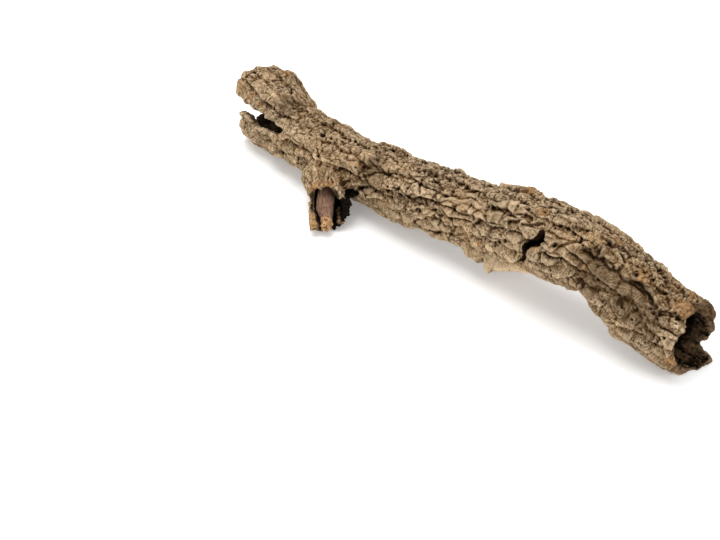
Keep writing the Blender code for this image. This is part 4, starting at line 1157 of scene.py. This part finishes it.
class Nodes:
    """Shorthand for building one material's node tree."""

    def __init__(self, name):
        self.material = bpy.data.materials.new(name)
        self.material.use_nodes = True
        self.tree = self.material.node_tree
        self.shader = self.tree.nodes["Principled BSDF"]

    def add(self, kind, links=(), **settings):
        node = self.tree.nodes.new(kind)
        for key, value in settings.items():
            setattr(node, key, value)
        for name, value in links:
            self.put(node.inputs[name], value)
        return node

    def put(self, socket, value):
        """Links the socket to a node's output, or sets it."""
        if isinstance(value, bpy.types.NodeSocket):
            self.tree.links.new(value, socket)
        else:
            socket.default_value = value

    def finish(self, **values):
        """Sets the shader's sockets, whose names are given with low lines for spaces, and gives the
        material."""
        for name, value in values.items():
            self.put(self.shader.inputs[name.replace("_", " ")], value)
        return self.material

    def attribute(self, name, vector=False):
        node = self.add("ShaderNodeAttribute", attribute_name=name)
        return node.outputs["Vector" if vector else "Fac"]

    def noise(self, vector, scale, detail=3.0, roughness=0.6):
        links = (("Vector", vector), ("Scale", scale), ("Detail", detail), ("Roughness", roughness))
        return self.add("ShaderNodeTexNoise", links).outputs["Fac"]

    def net(self, vector, scale):
        """The distance to the edges of a net of cells."""
        links = (("Vector", vector), ("Scale", scale))
        return self.add("ShaderNodeTexVoronoi", links, feature="DISTANCE_TO_EDGE").outputs["Distance"]

    def warped(self, vector, scale, reach):
        """The vector shifted to and fro by up to half the reach."""
        links = (("Vector", vector), ("Scale", scale), ("Detail", 3.0))
        swirl = self.add("ShaderNodeTexNoise", links).outputs["Color"]
        links = ((0, swirl), (1, (reach, reach, reach)), (2, vector))
        return self.add("ShaderNodeVectorMath", links, operation="MULTIPLY_ADD").outputs[0]

    def span(self, value, low, high, start=0.0, end=1.0):
        """The value from low to high made to run from start to end, and held there."""
        links = (("Value", value), ("From Min", low), ("From Max", high), ("To Min", start), ("To Max", end))
        return self.add("ShaderNodeMapRange", links).outputs["Result"]

    def maths(self, operation, a, b):
        return self.add("ShaderNodeMath", ((0, a), (1, b)), operation=operation).outputs[0]

    def times(self, a, b):
        return self.maths("MULTIPLY", a, b)

    def plus(self, a, b):
        return self.maths("ADD", a, b)

    def stretched(self, vector, scale):
        links = (("Vector", vector), ("Scale", scale))
        return self.add("ShaderNodeMapping", links).outputs["Vector"]

    def mix(self, share, a, b):
        """Colour a, with its share of colour b over it."""
        return self.add("ShaderNodeMix", ((0, share), (6, a), (7, b)), data_type="RGBA").outputs[2]

    def layers(self, colour, *over):
        """A colour with others over it, each given with its share, from the lowest up."""
        for share, other in over:
            colour = self.mix(share, colour, other)
        return colour

    def bumps(self, *heights):
        """A normal from heights, each given with its distance and its strength."""
        normal = None
        for height, distance, strength in heights:
            links = [("Height", height), ("Distance", distance), ("Strength", strength)]
            if normal is not None:
                links.append(("Normal", normal))
            normal = self.add("ShaderNodeBump", links).outputs["Normal"]
        return normal


GREY_BARK = (0.364, 0.254, 0.144, 1.0)
WARM_BARK = (0.414, 0.254, 0.118, 1.0)
PALE_BARK = (0.960, 0.720, 0.465, 1.0)
DARK_BARK = (0.038, 0.018, 0.006, 1.0)
CRACK_SHADE = (0.012, 0.0055, 0.0022, 1.0)
SHADE_BROWN = (0.115, 0.053, 0.018, 1.0)
FRESH_CORK = (0.600, 0.355, 0.165, 1.0)
OLD_CORK = (0.180, 0.090, 0.040, 1.0)
BROKEN_DARK = (0.030, 0.016, 0.008, 1.0)
BROKEN_PALE = (0.330, 0.200, 0.105, 1.0)
HOLLOW_DARK = (0.004, 0.0025, 0.0015, 1.0)
HOLLOW_BROWN = (0.030, 0.016, 0.0075, 1.0)
NEAR_BLACK = (0.005, 0.0035, 0.0025, 1.0)
WOOD_DARK = (0.085, 0.040, 0.024, 1.0)
WOOD_BROWN = (0.250, 0.145, 0.092, 1.0)
WOOD_PALE = (0.300, 0.205, 0.148, 1.0)
PAPER = (0.90, 0.90, 0.90, 1.0)


def bark_material():
    """Weathered cork bark: grey and warm plates, painted highlight on raised places, painted shade from
    brown to near black in low places, creases and cracks, fresh cork where torn.
    """
    n = Nodes("cork_bark")
    log = n.attribute("log", vector=True)
    where = n.add("ShaderNodeTexCoord").outputs["Object"]
    cavity = n.attribute("cavity")
    crumbled = n.attribute("crumbled")

    def patches(scale, detail, low, high, start=0.0, end=1.0, roughness=0.6):
        return n.span(n.noise(where, scale, detail, roughness), low, high, start, end)

    # How light the bark is, from plate to plate and from grain to grain
    coarse = patches(120.0, 5.0, 0.3, 0.7, -0.45, 0.45, 0.65)
    fine = patches(760.0, 3.0, 0.30, 0.70, -1.00, 1.00, 0.7)
    fine = n.times(fine, n.span(crumbled, 0.0, 1.0, 0.70, 1.0))
    tone = n.plus(n.plus(n.span(n.attribute("plate"), 0.2, 0.8, -0.15, 0.15), coarse), fine)

    # Growth lines across the plates, rings round the lobes and a net of hair cracks
    lines = n.noise(n.stretched(log, (1.0, 0.30, 0.30)), 560.0, 2.0)
    gap = n.plus(n.attribute("gap"), patches(260.0, 4.0, 0.3, 0.7, -0.45, 0.45))
    rings = n.span(n.maths("SINE", n.times(gap, 5.0), 0.0), 0.45, 0.95)
    net = n.net(n.warped(where, 200.0, 0.005), 230.0)
    netted = n.times(n.span(net, 0.090, 0.030), patches(55.0, 3.0, 0.46, 0.54, 0.0, 0.55))

    # Painted shade in the low places and the lobes' creases, warm brown and near black at the deepest,
    # stains, and ragged places where cork was torn off
    low = n.plus(n.span(cavity, 0.05, 0.75), n.span(n.attribute("hollowness"), 0.35, 1.0, 0.0, 0.7))
    crease = n.times(n.span(gap, 0.42, 0.12, 0.0, 0.85), patches(75.0, 3.0, 0.47, 0.56))
    stain = n.span(n.plus(n.attribute("stain"), patches(70.0, 4.0, 0.3, 0.7, -0.3, 0.3)), 0.3, 0.9)
    ragged = patches(250.0, 6.0, 0.3, 0.7, -1.1, 1.1, 0.75)
    torn = n.span(n.plus(n.times(n.attribute("torn"), 1.8), ragged), 0.90, 1.20)

    # Broken walls, fresh cork and the hollow's skin, painted near black as the shade deep inside, with brown
    # streaks, and paler near the stem's mouth as painted light
    streaks = n.noise(n.stretched(n.warped(where, 120.0, 0.004), (0.60, 1.0, 1.0)), 300.0, 6.0, 0.75)
    broken = n.mix(n.span(streaks, 0.40, 0.62), BROKEN_DARK, BROKEN_PALE)
    fresh = n.mix(patches(380.0, 5.0, 0.38, 0.60, roughness=0.7), OLD_CORK, FRESH_CORK)
    inside = n.layers(
        HOLLOW_DARK,
        (n.span(streaks, 0.45, 0.70), HOLLOW_BROWN),
        (n.times(n.attribute("mouth"), n.span(streaks, 0.51, 0.67)), BROKEN_PALE),
    )
    colour = n.layers(
        GREY_BARK,
        (patches(22.0, 3.0, 0.38, 0.66), WARM_BARK),
        (n.span(tone, 0.05, 0.80, 0.0, 0.70), PALE_BARK),
        (n.span(tone, -0.05, -0.75, 0.0, 0.75), DARK_BARK),
        (n.times(n.span(lines, 0.52, 0.68), patches(34.0, 2.0, 0.42, 0.58, 0.15, 0.60)), DARK_BARK),
        (n.times(rings, patches(48.0, 2.0, 0.44, 0.58, 0.0, 0.60)), DARK_BARK),
        (netted, DARK_BARK),
        # Painted highlight on raised places
        (n.span(cavity, -0.08, -0.60, 0.0, 0.50), PALE_BARK),
        # Painted shade in low places: warm brown, near black at the deepest
        (n.span(low, 0.0, 0.47, 0.0, 0.82), SHADE_BROWN),
        (n.span(low, 0.34, 0.88, 0.0, 0.98), CRACK_SHADE),
        # Painted shade: warm brown beside the lobes' creases, near black in the creases
        (n.span(gap, 1.20, 0.30, 0.0, 0.60), SHADE_BROWN),
        (crease, CRACK_SHADE),
        # Painted light on the belly plate's downward face
        (n.times(n.attribute("pale"), 0.8), PALE_BARK),
        (n.times(stain, 0.52), DARK_BARK),
        (n.span(n.attribute("face"), 0.0, 1.0, 0.0, 0.9), broken),
        (n.times(torn, n.span(cavity, 0.5, 0.0)), fresh),
        # Painted shade along the cracks and the mouth's slit
        (n.span(n.attribute("crack"), 0.25, 0.85), CRACK_SHADE),
        (n.attribute("inside"), inside),
        # Painted shade near black in pits, in the fork's corner and on the stub's broken face, and the
        # stub's black side
        (n.span(n.attribute("dark"), 0.15, 0.75, 0.0, 0.98), NEAR_BLACK),
    )
    normal = n.bumps(
        (n.noise(where, 420.0, 6.0, 0.72), 0.0027, n.span(crumbled, 0.0, 1.0, 0.60, 1.0)),
        (n.noise(where, 950.0, 3.0, 0.6), 0.0009, 1.0),
        (lines, 0.0014, 1.0),
        (rings, -0.0003, 1.0),
        (netted, -0.0005, 1.0),
    )
    roughness = n.span(tone, -0.5, 0.5, 0.98, 0.82)
    return n.finish(Base_Color=colour, Roughness=roughness, Specular_IOR_Level=0.03, Normal=normal)


def old_wood_material():
    """The stub's old wood: smooth, purple brown, with fine grain, pale and splintered at its broken tip."""
    n = Nodes("old_wood")
    where = n.add("ShaderNodeTexCoord").outputs["Object"]
    streaks = n.noise(n.stretched(n.attribute("grain", vector=True), (0.12, 1.0, 1.0)), 900.0, 4.0)
    fresh = n.mix(n.span(n.noise(where, 420.0, 4.0), 0.42, 0.58), OLD_CORK, FRESH_CORK)
    colour = n.layers(
        WOOD_DARK,
        (n.span(streaks, 0.35, 0.65), WOOD_BROWN),
        (n.span(n.noise(where, 160.0, 3.0), 0.50, 0.75, 0.0, 0.6), WOOD_PALE),
        (n.times(n.attribute("tip"), n.span(n.noise(where, 300.0, 4.0), 0.38, 0.50)), fresh),
        # Painted shade in the wood's hollows
        (n.span(n.attribute("cavity"), 0.15, 0.9, 0.0, 0.9), CRACK_SHADE),
    )
    normal = n.bumps((streaks, 0.0004, 1.0), (n.noise(where, 500.0, 4.0), 0.0003, 1.0))
    roughness = n.span(streaks, 0.3, 0.7, 0.60, 0.80)
    return n.finish(Base_Color=colour, Roughness=roughness, Specular_IOR_Level=0.15, Normal=normal)


def floor_material():
    n = Nodes("floor_paper")
    return n.finish(Base_Color=PAPER, Roughness=0.85, Emission_Color=WHITE, Emission_Strength=0.20)


# Pieces

def whole_branch():
    """The branch in one piece, with all of its bark."""
    branch = limb_solid("branch", TRUNK, 0.0, 0.0, TRUNK.length, TRUNK_SIDES, (ARM_RIM, STEM_RIM))
    side = limb_solid("stub_outside", STUB, 0.0, 0.0, STUB.length, STUB_SIDES, (None, STUB_RIM))
    cutters = [
        limb_solid("trunk_hollow", TRUNK, TRUNK_WALL, -HOLLOW_PAST, TRUNK.length + HOLLOW_PAST,
                   TRUNK_HOLLOW_SIDES),
        limb_solid("stub_hollow", STUB, STUB_WALL, STUB_HOLLOW_START, STUB.length + HOLLOW_PAST,
                   STUB_HOLLOW_SIDES),
        slot_solid("arm_slit", ARM_SLIT, ARM_SLIT_UNDERCUT),
        slot_solid("step_crack", STEP_CRACK),
        slot_solid("mouth_slit", MOUTH_SLIT),
    ]
    cut(branch, "UNION", [side])
    cut(branch, "DIFFERENCE", cutters)
    remove([side] + cutters)
    refine(branch, BLANK_VOXEL, BLANK_SMOOTHING)
    raise_bark(branch.data)
    refine(branch, FINE_VOXEL)
    roughen_bark(branch.data)
    decimate(branch, BRANCH_TRIANGLES)
    return branch


def dress(piece, node, finish):
    piece.data.materials.clear()
    piece.data.materials.append(finish)
    piece.data.shade_smooth()
    piece.data.set_sharp_from_angle(angle=SHARP_ANGLE)
    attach(piece, "root")
    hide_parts(node)


def build_limbs():
    """The branch parted into its three limbs, each in place of its solid."""
    branch = whole_branch()
    floor = far_box("floor_cutter", z_to=0.0)
    not_arm = far_box("not_arm", x_from=ARM_PLANE_X)
    arm = far_box("arm", x_to=ARM_PLANE_X)
    front = far_box("front", x_to=STUB_BESIDE_X, y_to=STUB_PLANE_Y)
    behind = far_box("behind", y_from=STUB_PLANE_Y)
    beside_stub = far_box("beside", x_from=STUB_BESIDE_X)
    bark = bark_material()
    for name, node, cutters in (
        ("stem_bark", "main_stem", (floor, arm, front)),
        ("arm_bark", "upper_arm", (floor, not_arm)),
        ("stub_bark", "side_stub", (floor, behind, beside_stub)),
    ):
        piece = linked(name, branch.data.copy())
        cut(piece, "DIFFERENCE", cutters, "MANIFOLD")
        describe(piece.data)
        dress(piece, node, bark)
    remove((branch, floor, not_arm, arm, front, behind, beside_stub))


def along_grain(points):
    """How far along the stub each point is, and its place as the old wood's grain runs."""
    at, angle, out = STUB.locate(points)
    return at, np.stack([at, out * np.cos(angle), out * np.sin(angle)], axis=1)


def tongue_tip(at, points):
    """From 0 to 1 where the old wood has broken off."""
    return smooth_step(*TIP_START, at + lumpy(points, TIP_RAGGED))


def build_core():
    """The old wood in the stub: the solid's own shape, rounded, with a grain along it and a broken tip."""
    piece = linked("old_wood_tongue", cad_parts["stub_core"].data.copy())
    refine(piece, CORE_VOXEL, CORE_SMOOTHING)
    mesh = piece.data
    points = vectors_of(mesh, "co")
    at, grain = along_grain(points)
    tip = tongue_tip(at, points)
    streak = lumpy(grain * CORE_STREAK_STRETCH, CORE_STREAKS)
    groove = np.abs(lumpy(grain * CORE_GROOVE_STRETCH, CORE_GROOVES))
    lump = lumpy(grain, TIP_LUMPS[0]) + lumpy(grain, TIP_LUMPS[1])
    change = (streak - groove) * (1.0 - tip) + (lump - TIP_SUNK) * tip - CORE_SHRINK
    move_points(mesh, points + vectors_of(mesh, "normal") * change[:, None])
    decimate(piece, CORE_TRIANGLES)
    points = vectors_of(piece.data, "co")
    at, grain = along_grain(points)
    store(piece.data, "grain", grain)
    store(piece.data, "tip", tongue_tip(at, points))
    store(piece.data, "cavity", cavity_of(piece.data, *CORE_CAVITY))
    dress(piece, "stub_core", old_wood_material())


# Stage

def aim(thing, place, target):
    thing.location = place
    direction = Vector(target) - Vector(place)
    thing.rotation_euler = direction.to_track_quat("-Z", "Y").to_euler()


def build_floor():
    half = FLOOR_SIZE * 0.5
    corners = [(-half, -half, 0.0), (half, -half, 0.0), (half, half, 0.0), (-half, half, 0.0)]
    floor = mesh_object("floor", corners, [(0, 1, 2, 3)])
    floor.data.materials.append(floor_material())


def build_light():
    for name, place, watts, size in LIGHTS:
        lamp = bpy.data.lights.new(name, "AREA")
        lamp.energy = watts
        lamp.size = size
        aim(linked(name, lamp), place, LIGHTS_AIM)
    world = bpy.data.worlds.new("studio")
    world.use_nodes = True
    background = world.node_tree.nodes["Background"].inputs
    background["Color"].default_value = WHITE
    background["Strength"].default_value = SURROUNDINGS
    bpy.context.scene.world = world


def build_camera():
    camera = bpy.data.cameras.new("camera")
    camera.lens = LENS_MM
    camera.sensor_width = SENSOR_MM
    holder = linked("camera", camera)
    aim(holder, CAMERA_PLACE, CAMERA_TARGET)
    bpy.context.scene.camera = holder


bpy.context.scene.view_settings.view_transform = "Standard"
build_limbs()
build_core()
build_floor()
build_light()
build_camera()
